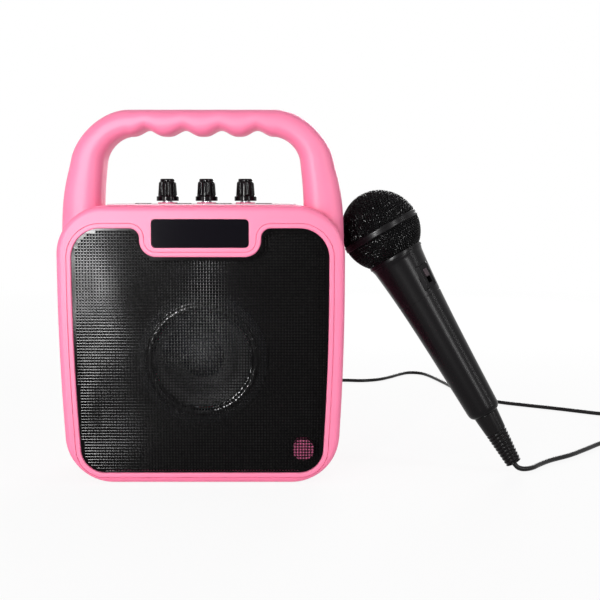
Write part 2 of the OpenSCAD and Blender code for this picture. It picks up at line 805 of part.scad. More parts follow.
board_z = 28.4;
board_face_z = board_z + board_t;
jack_z = board_face_z + 5;
board_half_w = plate_w / 2 - plate_rim - 0.4;
plate_back_y = back_y - plate_t;
inner_back_y = back_y - wall;
board_l = 32.1;
main_board_y1 = inner_back_y - 0.4;
main_board_y0 = main_board_y1 - board_l;
board_post_r = 2.6;
board_post_places = [for (x = [-board_half_w + 4, board_half_w - 4])
    each [[x, main_board_y0 + 4], [x, main_board_y1 - 4]]];
switch_x = -22;
switch_z = plate_z + 8;
slot_l = 4 + power_travel + 2 * clear;
slot_h = 3.6;

module main_board() color(green)
    box(-board_half_w, board_half_w, main_board_y0, main_board_y1, board_z, board_face_z);

nose_r = 3.2;
nose_proud = 0.8;

module jack(x) {
    block_w = 9;
    difference() {
        union() {
            box(x - block_w / 2, x + block_w / 2, plate_back_y - pin_l, plate_back_y,
                board_face_z, jack_z + 4);
            rod(x, jack_z, nose_r, plate_back_y - over, back_y + nose_proud);
        }
        rod(x, jack_z, jack_r, back_y + nose_proud - pin_l - 0.4, back_y + nose_proud + over);
    }
}

module mic_jack() color(black) jack(mic_jack_x);

module aux_jack() color(black) jack(aux_jack_x);

usb_w = 13.2;
usb_h = 5.8;
usb_l = 14;

module usb_socket() color(steel) {
    z0 = board_face_z + 2;
    shell_t = 0.4;
    difference() {
        box(-usb_w / 2, usb_w / 2, plate_back_y - usb_l, back_y, z0, z0 + usb_h);
        box(-usb_w / 2 + shell_t, usb_w / 2 - shell_t, plate_back_y - usb_l + 2, back_y + over,
            z0 + shell_t, z0 + usb_h - shell_t);
    }
    box(-5.5, 5.5, plate_back_y - usb_l + 1.9, plate_back_y - 2, z0 + 3.2, z0 + 4.9);
    box(-usb_w / 2 + 1, usb_w / 2 - 1, plate_back_y - usb_l + 1, plate_back_y - 4, board_face_z, z0 + 0.1);
}

card_x = -15;
card_w = 13;

module card_slot() color(steel) difference() {
    box(card_x - card_w / 2, card_x + card_w / 2, plate_back_y - 14, back_y,
        board_face_z, board_face_z + 2.4);
    box(card_x - 5.7, card_x + 5.7, plate_back_y - 12, back_y + over,
        board_face_z + 0.6, board_face_z + 1.8);
}

charge_x = -28;
charge_w = 7.6;

module charge_socket() color(steel) difference() {
    box(charge_x - charge_w / 2, charge_x + charge_w / 2, plate_back_y - 6, back_y, board_face_z,
        board_face_z + 3);
    box(charge_x - charge_w / 2 + 0.4, charge_x + charge_w / 2 - 0.4, plate_back_y - 5, back_y + over,
        board_face_z + 0.4, board_face_z + 2.6);
}

module back_plate() color(black) difference() {
    prism(rounded_box(plate_w, plate_h, 3, 0, plate_z), plate_back_y, back_y);
    for (x = [mic_jack_x, aux_jack_x]) rod(x, jack_z, nose_r + slip, plate_back_y - over, back_y + over);
    box(-usb_w / 2 - slip, usb_w / 2 + slip, plate_back_y - over, back_y + over,
        board_face_z + 2 - slip, board_face_z + 2 + usb_h + slip);
    box(card_x - card_w / 2 - slip, card_x + card_w / 2 + slip, plate_back_y - over, back_y + over,
        board_face_z - slip, board_face_z + 2.4 + slip);
    box(charge_x - charge_w / 2 - slip, charge_x + charge_w / 2 + slip, plate_back_y - over, back_y + over,
        board_face_z - slip, board_face_z + 3 + slip);
    box(switch_x - slot_l / 2, switch_x + slot_l / 2, plate_back_y - over, back_y + over,
        switch_z - slot_h / 2 - slip, switch_z + slot_h / 2 + slip);
}

switch_body_l = slot_l + 8;
switch_body_h = 8;
switch_body_t = 6;

module power_switch_body() color([0.25, 0.25, 0.27]) difference() {
    box(switch_x - switch_body_l / 2, switch_x + switch_body_l / 2,
        plate_back_y - switch_body_t, plate_back_y,
        switch_z - switch_body_h / 2, switch_z + switch_body_h / 2);
    box(switch_x - slot_l / 2 - 1, switch_x + slot_l / 2 + 1, plate_back_y - switch_body_t + 1,
        plate_back_y + over, switch_z - slot_h / 2 - slip, switch_z + slot_h / 2 + slip);
}

module power_slider() color(black) {
    x0 = switch_x - slot_l / 2 + clear;
    base_y = plate_back_y - switch_body_t + 1 + slip;
    box(x0, x0 + 4, base_y, back_y + 1.2, switch_z - slot_h / 2, switch_z + slot_h / 2);
}

cell_r = 9.2;
cell_l = 65;
cradle_t = 1.5;
cell_y = cradle_y0 + cradle_t + slip + cell_r;
cell_z = floor_z + cradle_t + cell_r;

module battery_cradle() color([0.16, 0.16, 0.17]) difference() {
    box(-cell_l / 2 - 3, cell_l / 2 + 3, cradle_y0, cell_y + cell_r + slip + cradle_t, floor_z, cell_z + 3);
    translate([-cell_l / 2 - slip, cell_y, cell_z]) rotate([0, 90, 0])
        cylinder(r = cell_r + slip, h = cell_l + 2 * slip);
    box(-cell_l / 2 - slip, cell_l / 2 + slip, cell_y - cell_r - slip, cell_y + cell_r + slip,
        cell_z, cell_z + 3 + over);
}

module battery_cell() color([0.2, 0.45, 0.7])
    translate([-cell_l / 2, cell_y, cell_z]) rotate([0, 90, 0]) union() {
        cylinder(r = cell_r, h = cell_l - 1);
        cylinder(r = 3, h = cell_l);
    }

// ---- tubes along a route ---------------------------------------------------------------

function unit(v) = v / norm(v);

// A point on the smooth curve through the points, between points i and i + 1
function smooth_point(p, i, t) =
    let (a = p[max(0, i - 1)], b = p[i], c = p[i + 1], d = p[min(len(p) - 1, i + 2)])
    0.5 * (2 * b + (c - a) * t + (2 * a - 5 * b + 4 * c - d) * t * t + (3 * b - a - 3 * c + d) * pow(t, 3));

function smoothed(p, steps) =
    concat([for (i = [0:len(p) - 2]) for (k = [0:steps - 1]) smooth_point(p, i, k / steps)],
           [p[len(p) - 1]]);

function heading(p, i) = unit(p[min(len(p) - 1, i + 1)] - p[max(0, i - 1)]);

// Side directions carried along the curve without twisting
function carried(p, i, side) =
    let (d = heading(p, i), s = unit(side - d * (side * d)))
    i == len(p) - 1 ? [s] : concat([s], carried(p, i + 1, s));

function tube_rings(p, r, n, side) =
    let (sides = carried(p, 0, side))
    [for (i = [0:len(p) - 1]) let (s = sides[i], u = cross(heading(p, i), s))
        [for (k = [0:n - 1]) let (a = 360 * k / n) p[i] + r * (s * cos(a) - u * sin(a))]];

module tube(p, r, n, side = [0.3, 0.2, 1]) {
    loft(tube_rings(p, r, n, side));
}

wire_r = 0.8;
ribbon_w = 16;
ribbon_t = 0.6;
ribbon_y = plate_back_y - usb_l - 2 - ribbon_t;

module inner_wires() color([0.7, 0.12, 0.12]) {
    for (s = [-1, 1]) tube(smoothed([
        [s * 5, baffle_y + basket_d + 6, driver_z - magnet_r - wire_r - 0.3],
        [s * 5, baffle_y + basket_d + 11, driver_z - magnet_r - 6],
        [s * 5, main_board_y0 + 6, board_face_z + 10],
        [s * 5, main_board_y0 + 8, board_face_z + 4],
        [s * 5, main_board_y0 + 8, board_face_z + 0.15]
    ], 2), wire_r, 6);
    tube(smoothed([
        [cell_l / 2 - 6, cell_y, cell_z + cell_r + wire_r + 0.2],
        [cell_l / 2 - 8, cell_y + 6, cell_z + cell_r + 9],
        [board_half_w - 10, main_board_y0 + 4, board_face_z + 7],
        [board_half_w - 12, main_board_y0 + 8, board_face_z + 4],
        [board_half_w - 12, main_board_y0 + 8, board_face_z + 0.15]
    ], 2), wire_r, 6);
    box(-ribbon_w / 2, ribbon_w / 2, ribbon_y, ribbon_y + ribbon_t, board_face_z, board_top - board_t);
}

// ---- microphone ------------------------------------------------------------------------

mic_axis = [sin(mic_tilt) * cos(mic_yaw), sin(mic_tilt) * sin(mic_yaw), -cos(mic_tilt)];
mic_z = mic_tip_z + boot_end_s * cos(mic_tilt);
band_r = head_r + band_proud;

// The head leans on the casing's corner, and clears the handle's leg beside it
corner_level = max(0, mic_z - (body_h - corner_r));
reach = corner_r + band_r + clear;
corner_x = half_w - corner_r + sqrt(reach * reach - corner_level * corner_level);
leg_x = [
    for (pair = half_arch, side = [-1, 1], a = [0:10:90])
        let (p = section_point(pair, a, 0, side), room = pow(band_r + clear, 2),
             off = pow(p[1] - mic_y, 2) + pow(p[2] - mic_z, 2))
        if (off < room) p[0] + sqrt(room - off)
];
mic_head = [max(concat([corner_x], leg_x)), mic_y, mic_z];

// Places a piece that is drawn along the microphone's axis, head up
module on_mic() {
    translate(mic_head) rotate([0, 0, mic_yaw]) rotate([0, -mic_tilt, 0]) children();
}

function ball(r, z) = sqrt(max(0, r * r - z * z));
function ball_arc(r, z0, z1, n) =
    [for (i = [0:n]) let (a0 = asin(z0 / r), a1 = asin(min(1, z1 / r)), a = a0 + (a1 - a0) * i / n)
        [r * cos(a), r * sin(a)]];

function reversed(p) = [for (i = [len(p) - 1:-1:0]) p[i]];
dome_stretch = 1 + dome_rise / (head_r - band_w / 2);
function stretched(p) = [for (q = p)
    [q[0], q[1] > band_w / 2 ? band_w / 2 + (q[1] - band_w / 2) * dome_stretch : q[1]]];

module mic_head_upper() color([0.1, 0.1, 0.1]) on_mic() rotate_extrude($fn = 64) polygon(stretched(concat(
    ball_arc(head_r, band_w / 2, head_r, 10),
    reversed(ball_arc(head_r - mesh_t, band_w / 2, head_r - mesh_t, 10))
)));

module mic_band() color(black) on_mic() rotate_extrude($fn = 64) polygon([
    [head_r - mesh_t, -band_w / 2], [band_r - 0.5, -band_w / 2], [band_r, -band_w / 2 + 0.5],
    [band_r, band_w / 2 - 0.5], [band_r - 0.5, band_w / 2], [head_r - mesh_t, band_w / 2]
]);

module mic_head_lower() color([0.1, 0.1, 0.1]) on_mic() rotate_extrude($fn = 64) polygon(concat(
    ball_arc(head_r, -collar_s, -band_w / 2, 6),
    reversed(ball_arc(head_r - mesh_t, -collar_s, -band_w / 2, 6))
));

capsule_r = 7;
capsule_l = 14;

module mic_foam() color([0.2, 0.2, 0.2]) on_mic() difference() {
    rotate_extrude($fn = 64) polygon(stretched(concat(
        [[0, -collar_s]],
        ball_arc(head_r - mesh_t - clear, -collar_s, head_r - mesh_t - clear, 14)
    )));
    translate([0, 0, -collar_s - over]) cylinder(r = capsule_r + slip, h = capsule_l + slip + over);
}

module mic_capsule() color(steel) on_mic()
    translate([0, 0, -collar_s]) cylinder(r = capsule_r, h = capsule_l);

collar_r = ball(head_r, collar_s) + 0.3;
rib_pitch = 2.4;
switch_s0 = 31.2;
switch_s1 = 46.2;
switch_turn = 50;
switch_top_w = 8.4;
switch_foot_w = 12.6;
mic_slot_l = 5 + mic_switch_travel + 2 * clear;

// Outer radius of the barrel at a distance s from the head's middle
function barrel_radius(s) =
    let (t = (s - barrel_s) / (barrel_end_s - barrel_s))
    barrel_end_r + (barrel_r - barrel_end_r) * (0.35 * pow(1 - t, 4) + 0.65 * (1 - t));

module on_switch(s) {
    rotate([0, 0, switch_turn - 90]) translate([0, 0, -s]) children();
}

// A level of the plate round the switch: up above the barrel, w to each side, longer by more at each end
function plate_ring(up, w, more) =
    let (x0 = barrel_radius(switch_s1) + up, x1 = barrel_radius(switch_s0) + up,
         l = switch_s1 - switch_s0 + more)
    [[x0, -w, -more], [x1, -w, l], [x1, w, l], [x0, w, -more]];

module mic_barrel() color(black) on_mic() difference() {
    union() {
        rotate_extrude($fn = 64) polygon(concat(
            [[0, -barrel_end_s], [barrel_end_r - 3, -barrel_end_s],
             [barrel_end_r - 0.9, -barrel_end_s + 0.9], [barrel_end_r, -barrel_end_s + 3]],
            [for (i = [9:-1:0]) let (s = barrel_s + (barrel_end_s - 4 - barrel_s) * i / 9)
                [barrel_radius(s), -s]],
            [[collar_r - 0.4, -collar_s - 0.8], [collar_r - 0.4, -collar_s], [0, -collar_s]]
        ));
        on_switch(switch_s1) loft([
            plate_ring(-1.8, switch_foot_w / 2, 1),
            plate_ring(0.8, switch_top_w / 2, 0)
        ]);
    }
    rotate_extrude($fn = 48) polygon(concat(
        [[0, -barrel_end_s + 3], [barrel_end_r - 3, -barrel_end_s + 3]],
        [for (i = [9:-1:0]) let (s = barrel_s + (barrel_end_s - 6 - barrel_s) * i / 9)
            [barrel_radius(s) - barrel_wall, -s]],
        [[0, -barrel_s]]
    ));
    on_switch((switch_s0 + switch_s1 + mic_slot_l) / 2)
        translate([barrel_radius(switch_s1) - 1.2, -1.7, 0]) cube([6, 3.4, mic_slot_l]);
}

module mic_switch_slider() color([0.2, 0.2, 0.21]) on_mic()
    on_switch((switch_s0 + switch_s1 - mic_slot_l) / 2 + clear + 5)
        translate([barrel_radius(switch_s1) - 1.2 + slip, -1.7 + slip, 0])
            cube([3.3, 3.4 - 2 * slip, 5]);

function boot_radius(s) =
    boot_r + (boot_tip_r - boot_r) * (s - barrel_end_s) / (boot_end_s - barrel_end_s);

module mic_boot() color(black) on_mic() rotate_extrude($fn = 48) polygon(concat(
    [[0, -boot_end_s], [boot_tip_r, -boot_end_s]],
    [for (i = [0:boot_ribs - 1]) let (s = boot_end_s - rib_pitch * (i + 0.3)) each [
        [boot_radius(s), -s], [boot_radius(s) - 0.6, -s + 0.2], [boot_radius(s) - 0.6, -s + rib_pitch * 0.4],
        [boot_radius(s), -s + rib_pitch * 0.4 + 0.2]
    ]],
    [[boot_r, -barrel_end_s], [0, -barrel_end_s]]
));

// ---- the lead --------------------------------------------------------------------------

lead_r = lead_d / 2;
mic_tip = mic_head + boot_end_s * mic_axis;
plug_y = back_y + nose_proud + 0.3;
plug_body_l = 15;
plug_boot_l = 14;
lead_end = [mic_jack_x, plug_y + plug_body_l + plug_boot_l, jack_z];

// The coil: in for half of the turns, up a layer in the half turn in the middle, and out again
coil_lift = 0.7;
lead_x = mic_tip[0] - 197.3;
coil_place = [318 + lead_x, 112];
coil_pitch = lead_d + coil_gap;
coil_all = 2 * coil_turns + 0.28;
coil_first = -48;
ring_steps = 24;

function coil_point(turn) =
    let (from_middle = abs(turn - coil_all / 2), a = coil_first + 360 * turn,
         r = coil_inner_r + coil_pitch * from_middle,
         climb = min(1, max(0, (turn - coil_all / 2) * 2 + 0.5)))
    [coil_place[0] + r * cos(a), coil_place[1] + r * sin(a), coil_lift + lead_r + coil_pitch * climb];

coil_count = ceil(coil_all * ring_steps);
coil_points = [for (i = [0:coil_count]) coil_point(coil_all * i / coil_count)];
coil_in = unit(coil_points[1] - coil_points[0]);
coil_out = unit(coil_points[coil_count] - coil_points[coil_count - 1]);
coil_start = coil_points[0] - coil_in * lead_d;
coil_end = coil_points[coil_count] + coil_out * lead_d;
coil_route = concat([coil_start], coil_points, [coil_end]);

least_gap = min([for (i = [0:2:coil_count]) for (j = [i + ring_steps / 2:coil_count])
    norm(coil_points[i] - coil_points[j])]) - lead_d;
echo(coil_gap_to_itself = least_gap);
echo(coil_length = sum_length(coil_route));

function sum_length(p) = len(p) < 2 ? 0 : norm_steps(p, 1, 0);
function norm_steps(p, i, total) = i == len(p) ? total : norm_steps(p, i + 1, total + norm(p[i] - p[i - 1]));

// Points of the lead's route moved along X with the microphone's end, from the first to the last
function with_tip(p, first, last) =
    [for (i = [0:len(p) - 1]) p[i] + [lead_x * (first + (last - first) * i / len(p)), 0, 0]];

// From the microphone to the coil
to_coil = concat([mic_tip], smoothed(concat([mic_tip + mic_axis], with_tip([
    [200.2, -10.4, 2.6], [204, -10.3, 1.7], [210, -7, 1.6], [217, 1.5, 1.6], [227, 12, 1.6],
    [243, 25, 1.6], [259, 42, 1.6], [276, 60, 1.6], [297, 71, 1.7], [315, 78, 2]
], 1, 1), [coil_start - 5 * coil_in]), 2), [coil_start]);

// From the coil behind the microphone and the casing to the plug
to_plug = concat([coil_end], smoothed(concat([coil_end + 5 * coil_out], with_tip([
    [314, 147, 3.4], [303, 156, 1.8], [289, 166, 1.6], [271, 178, 1.6], [248, 192, 1.6],
    [229, 205, 1.6], [213, 226, 1.6], [204, 256, 1.6], [197, 292, 1.6], [187, 333, 1.6],
    [179, 348, 1.6], [168, 350, 1.6], [158, 340, 1.6], [148, 326, 1.6], [135, 312, 1.6], [119, 306, 1.6],
    [101, 308, 1.6], [80, 304, 1.6], [62, 286, 1.6], [50, 255, 1.6], [43, 215, 1.6], [38, 178, 1.6],
    [34, 148, 1.7], [32, 128, 2.4], [30, 114, 10], [29, 101, 23], [28, 88, 32]
], 1, 0), [lead_end + [0, 5, 0]]), 2), [lead_end]);

echo(to_coil_length = sum_length(to_coil));
echo(to_plug_length = sum_length(to_plug));

module mic_lead() color(black) {
    tube(to_coil, lead_r, 8);
    tube(to_plug, lead_r, 8);
}

module lead_coil() color(black) tube(coil_route, lead_r, 6);

module mic_plug() color(black) {
    rod(mic_jack_x, jack_z, pin_r, plug_y - pin_l, plug_y + over);
    rod(mic_jack_x, jack_z, 4.2, plug_y, plug_y + plug_body_l);
    translate([mic_jack_x, plug_y + plug_body_l - 0.01, jack_z]) rotate([-90, 0, 0])
        rotate_extrude() polygon([[0, 0], [3.6, 0], [2.3, plug_boot_l], [0, plug_boot_l]]);
}

// ---- nodes -------------------------------------------------------------------------------

front_frame();
grille_ring();
grille();
display_window();
display_module();
baffle_board();
mesh_support_post();
front_shell();
rear_shell();
case_screws();
feet();
control_deck();
deck_overlay();
knob(knob_xs[0]);  // knob_mic_volume
knob(knob_xs[1]);  // knob_echo
knob(knob_xs[2]);  // knob_music_volume
shaft(knob_xs[0]);  // shaft_mic_volume
shaft(knob_xs[1]);  // shaft_echo
shaft(knob_xs[2]);  // shaft_music_volume
potentiometers();
control_board();
push_button(0);  // button_mode
push_button(1);  // button_previous
push_button(2);  // button_play
push_button(3);  // button_next
tact_switches();
driver_basket();
driver_gasket();
driver_surround();
driver_cone();
driver_dust_cap();
voice_coil();
driver_spider();
magnet_top_plate();
driver_magnet();
pole_piece();
driver_screws();
back_plate();
mic_jack();
aux_jack();
usb_socket();
card_slot();
charge_socket();
power_switch_body();
power_slider();
main_board();
battery_cell();
battery_cradle();
inner_wires();
mic_head_upper();
mic_band();
mic_head_lower();
mic_foam();
mic_capsule();
mic_barrel();
mic_switch_slider();
mic_boot();
mic_lead();
lead_coil();
mic_plug();
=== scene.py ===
"""Looks of the portable karaoke speaker: moulded case, perforated grille, knobs, microphone and lead.

Lengths in the making of a mesh are millimetres, in the frame of the part; objects are metres.
"""
from math import acos, asin, ceil, cos, inf, pi, radians, sin, sqrt
from random import Random

import bmesh
import bpy
from mathutils import Matrix, Vector
from mathutils.geometry import tessellate_polygon


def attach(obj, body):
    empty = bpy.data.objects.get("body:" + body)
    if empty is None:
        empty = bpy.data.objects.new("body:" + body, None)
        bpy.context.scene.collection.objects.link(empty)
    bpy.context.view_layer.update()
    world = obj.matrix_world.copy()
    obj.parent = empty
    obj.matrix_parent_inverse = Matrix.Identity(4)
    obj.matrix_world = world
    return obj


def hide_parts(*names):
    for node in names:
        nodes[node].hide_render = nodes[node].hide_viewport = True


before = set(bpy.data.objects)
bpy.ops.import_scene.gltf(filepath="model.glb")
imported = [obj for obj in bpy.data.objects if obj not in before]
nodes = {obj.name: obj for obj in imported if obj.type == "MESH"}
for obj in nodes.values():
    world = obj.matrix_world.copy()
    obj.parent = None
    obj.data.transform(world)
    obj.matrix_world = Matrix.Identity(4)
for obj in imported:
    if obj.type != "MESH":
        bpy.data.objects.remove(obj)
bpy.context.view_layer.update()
scene = bpy.context.scene
scene.view_settings.view_transform = "Standard"
MM = 0.001
MERGE = 0.002

# ---- camera: 60 mm lens, as high as the casing's top, to the right of the middle -----------------

LOOK_DOWN = 5.71
camera = bpy.data.objects.new("camera", bpy.data.cameras.new("camera"))
camera.data.lens = 60
camera.data.sensor_width = 36
camera.data.clip_start = 0.01
camera.location = (0.060, -0.639, 0.1736)
camera.rotation_euler = (radians(90 - LOOK_DOWN), 0, 0)
scene.collection.objects.link(camera)
scene.camera = camera

# ---- sizes of the part ---------------------------------------------------------------------------

HALF_W, BODY_H = 87.5, 170.5
FRONT_Y, BACK_Y, JOIN_Y, PART_Y = -39.0, 39.0, -29.0, -15.5
FACE_BACK_Y, FLANGE_BACK_Y, BAFFLE_BACK_Y = -36.0, -34.5, -26.5
WALL, CORNER_R, SIDE_TAPER, WIDEST_Z = 2.5, 30.0, 5.0, 125.0
FRONT_EDGE_R, FRAME_STEP, RING_EDGE_R, BACK_EDGE_R, GROOVE = 3.5, 0.5, 0.7, 8.0, 0.28
RIM_IN, RING_W, RING_FLANGE_W, SEAM, SLIP, CLEAR = 4.2, 2.7, 5.0, 0.3, 0.15, 0.3
GRILLE_Y, GRILLE_T, GRILLE_SIDE, GRILLE_LOW_R, GRILLE_HIGH_R = -38.2, 0.8, 9.7, 15.0, 18.0
GRILLE_BOTTOM_Z, GRILLE_DROP = 6.8, 13.7
GRILLE_TOP_Z = BODY_H - GRILLE_DROP
BRIDGE_W, BRIDGE_DROP, BRIDGE_R, BRIDGE_ROOT_R = 73.2, 31.0, 10.0, 6.0
WINDOW_W, WINDOW_H, WINDOW_R, WINDOW_Z, WINDOW_T = 58.4, 17.0, 2.4, 153.6, 1.4
HANDLE_TOP, HANDLE_FRONT, HANDLE_BACK, LEG_W, GRIP_T = 228.6, 13.1, 22.0, 25.0, 16.0
FINGER_PITCH, FINGER_DEPTH, FINGER_POWER, SECTION_POWER = 22.4, 3.7, 1.5, 2.8
DECK_HALF_L, DECK_FRONT_Y, DECK_BACK_Y = 55.0, -26.0, 29.0
KNOB_PITCH, KNOB_Y, KNOB_Z, KNOB_H = 25, 7.0, 173.0, 14.1
FOOT_X, FOOT_ROWS_Y, FOOT_HOLE_R, FOOT_HOLE_T = 48, (-22, 27), 5.15, 1.2
PLATE_W, PLATE_H, PLATE_R, PLATE_Z, PLATE_SEAT_Y = 76, 40, 3, 46, 37.6
SCREW_CORNER, SCREW_MIDDLE_Z, DRIVER_Z = 13.5, 85, 76.0
WELL_R, WELL_MOUTH_R, WELL_OUT_R, WELL_HOLE_R = 3.3, 4.2, 4.6, 1.8
WELL_END_Y, WELL_CUT_Y, WELL_FLOOR_Y = 36.9, 20, -8
HEAD_R, BAND_W, BAND_R, COLLAR_S, BARREL_S, BARREL_END_S = 25.4, 4.0, 25.8, 17.6, 22.5, 134.6
BARREL_R, BARREL_END_R, BOOT_R, BOOT_TIP_R, BOOT_END_S = 17.1, 10.5, 8.1, 5.0, 171.3
DOME_STRETCH, MIC_TILT, MIC_YAW, MIC_Y, MIC_TIP_Z, LEAD_R = 1.06, 30.3, -9.3, 4, 5.8, 1.6


# ---- outlines of the front view ------------------------------------------------------------------

def arc(cx, cz, r, a0, a1, n):
    return [(cx + r * cos(radians(a0 + (a1 - a0) * i / n)), cz + r * sin(radians(a0 + (a1 - a0) * i / n)))
            for i in range(n + 1)]


def circle(cx, cz, r, n=40):
    return [(cx + r * cos(2 * pi * i / n), cz + r * sin(2 * pi * i / n)) for i in range(n)]


def between(low, high, n=16):
    """Levels evenly spread between two others."""
    return [low + (high - low) * i / n for i in range(1, n)]


def mirrored(right):
    return right + [(-x, z) for x, z in reversed(right)]


def side_x(z):
    return HALF_W - SIDE_TAPER * max(0, (WIDEST_Z - z) / WIDEST_Z) ** 2


def casing_outline(e):
    """The casing's outline, e further in."""
    low, high = CORNER_R, BODY_H - CORNER_R
    return mirrored(
        arc(side_x(low) - CORNER_R, low, CORNER_R - e, -90, 0, 20)
        + [(side_x(z) - e, z) for z in between(low, high)]
        + arc(HALF_W - CORNER_R, high, CORNER_R - e, 0, 90, 20))


def opening_outline(e):
    """The outline of the grille's opening, with the bridge in it, e further out."""
    low, high = GRILLE_BOTTOM_Z + GRILLE_LOW_R, GRILLE_TOP_Z - GRILLE_HIGH_R
    half = BRIDGE_W / 2
    return mirrored(
        arc(side_x(low) - GRILLE_SIDE - GRILLE_LOW_R, low, GRILLE_LOW_R + e, -90, 0, 16)
        + [(side_x(z) - GRILLE_SIDE + e, z) for z in between(low, high)]
        + arc(HALF_W - GRILLE_SIDE - GRILLE_HIGH_R, high, GRILLE_HIGH_R + e, 0, 90, 16)
        + arc(half + BRIDGE_ROOT_R, GRILLE_TOP_Z - BRIDGE_ROOT_R, BRIDGE_ROOT_R + e, 90, 180, 10)
        + arc(half - BRIDGE_R, BODY_H - BRIDGE_DROP + BRIDGE_R, BRIDGE_R - e, 0, -90, 12))


def rounded_box(w, h, r, cx, cz, n=8):
    return (arc(cx + w / 2 - r, cz - h / 2 + r, r, -90, 0, n)
            + arc(cx + w / 2 - r, cz + h / 2 - r, r, 0, 90, n)
            + arc(cx - w / 2 + r, cz + h / 2 - r, r, 90, 180, n)
            + arc(cx - w / 2 + r, cz - h / 2 + r, r, 180, 270, n))


def at_y(points, y):
    return [(x, y, z) for x, z in points]


def rounding(e, y, r, angles, way=1):
    """Insets and depths round an edge of radius r, from its side at 0 degrees to its face at 90."""
    return [(e + r * (1 - cos(radians(a))), y + way * r * (1 - sin(radians(a)))) for a in angles]


# ---- making meshes -------------------------------------------------------------------------------

class Shape:
    """Points and faces in millimetres, gathered from walls, caps and turned surfaces."""

    def __init__(self, matrix=None):
        self.points, self.faces, self.matrix = [], [], matrix or Matrix.Identity(4)

    def add(self, points):
        first = len(self.points)
        self.points += [self.matrix @ Vector(p) for p in points]
        return first

    def wall(self, rings, loop=False):
        """Quads between rings of equally many points, and with loop also from the last to the first."""
        n = len(rings[0])
        starts = [self.add(ring) for ring in rings]
        pairs = list(zip(starts, starts[1:])) + ([(starts[-1], starts[0])] if loop else [])
        for a, b in pairs:
            self.faces += [(a + k, a + (k + 1) % n, b + (k + 1) % n, b + k) for k in range(n)]
        return self

    def cap(self, outline):
        """A flat face at right angles to Y, in triangles."""
        first = self.add(outline)
        flat = [Vector((x, z, 0)) for x, _, z in outline]
        self.faces += [tuple(first + i for i in face) for face in tessellate_polygon([flat])]
        return self

    def lid(self, ring):
        """One flat face over a ring at any angle."""
        first = self.add(ring)
        self.faces.append(tuple(range(first, first + len(ring))))
        return self

    def solid(self, rings):
        """Walls between rings, with lids over the first and the last."""
        return self.wall(rings).lid(rings[0]).lid(rings[-1])

    def stack(self, outline, steps, loop=False):
        """Walls through an outline at insets and depths, closed by caps, or with loop by themselves."""
        rings = [at_y(outline(e), y) for e, y in steps]
        self.wall(rings, loop)
        return self if loop else self.cap(rings[0]).cap(rings[-1])

    def turned(self, profile, n, loop=False):
        """A surface turned round Z from radius and height pairs."""
        return self.wall([[(x, y, z) for x, y in circle(0, 0, r, n)] for r, z in profile], loop)

    def mesh(self, merge=MERGE, outward=True):
        made = bpy.data.meshes.new("mesh")
        made.from_pydata([p * MM for p in self.points], [], self.faces)
        work = bmesh.new()
        work.from_mesh(made)
        if merge:
            bmesh.ops.remove_doubles(work, verts=work.verts, dist=merge * MM)
            bmesh.ops.dissolve_degenerate(work, edges=work.edges, dist=merge * MM / 4)
        if outward:
            bmesh.ops.recalc_face_normals(work, faces=work.faces)
        work.to_mesh(made)
        work.free()
        return made


def piece(name, mesh, look, body, instead=(), sharp=32, weighted=True):
    """A visible piece on a body, in place of the CAD nodes named in instead.

    Edges of more than sharp degrees stay sharp.
    """
    mesh.name = name
    mesh.materials.clear()
    mesh.materials.append(look)
    mesh.shade_smooth()
    mesh.set_sharp_from_angle(angle=radians(sharp))
    made = bpy.data.objects.new(name, mesh)
    scene.collection.objects.link(made)
    if weighted:
        made.modifiers.new("normals", "WEIGHTED_NORMAL").keep_sharp = True
    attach(made, body)
    if instead:
        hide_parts(*instead)
    return made


def combined(mesh, other, operation):
    """The mesh with another one taken off it, or added to it."""
    base, tool = bpy.data.objects.new("base", mesh), bpy.data.objects.new("tool", other)
    for o in (base, tool):
        scene.collection.objects.link(o)
    step = base.modifiers.new("step", "BOOLEAN")
    step.operation, step.object, step.solver = operation, tool, "EXACT"
    result = bpy.data.meshes.new_from_object(base.evaluated_get(bpy.context.evaluated_depsgraph_get()))
    for o in (base, tool):
        bpy.data.objects.remove(o)
    return result


def joined(*meshes):
    """Several meshes as one."""
    work = bmesh.new()
    for mesh in meshes:
        work.from_mesh(mesh)
    result = bpy.data.meshes.new("mesh")
    work.to_mesh(result)
    work.free()
    return result


def box_points(shape, x0, x1, y0, y1, z0, z1):
    """A plain box, added to a shape."""
    ring = [(x0, z0), (x1, z0), (x1, z1), (x0, z1)]
    return shape.cap(at_y(ring, y0)).wall([at_y(ring, y0), at_y(ring, y1)]).cap(at_y(ring, y1))


# ---- materials -----------------------------------------------------------------------------------

def srgb(r, g, b):
    return tuple((c / 12.92 if c <= 0.04045 else ((c + 0.055) / 1.055) ** 2.4)
                 for c in (r / 255, g / 255, b / 255)) + (1,)


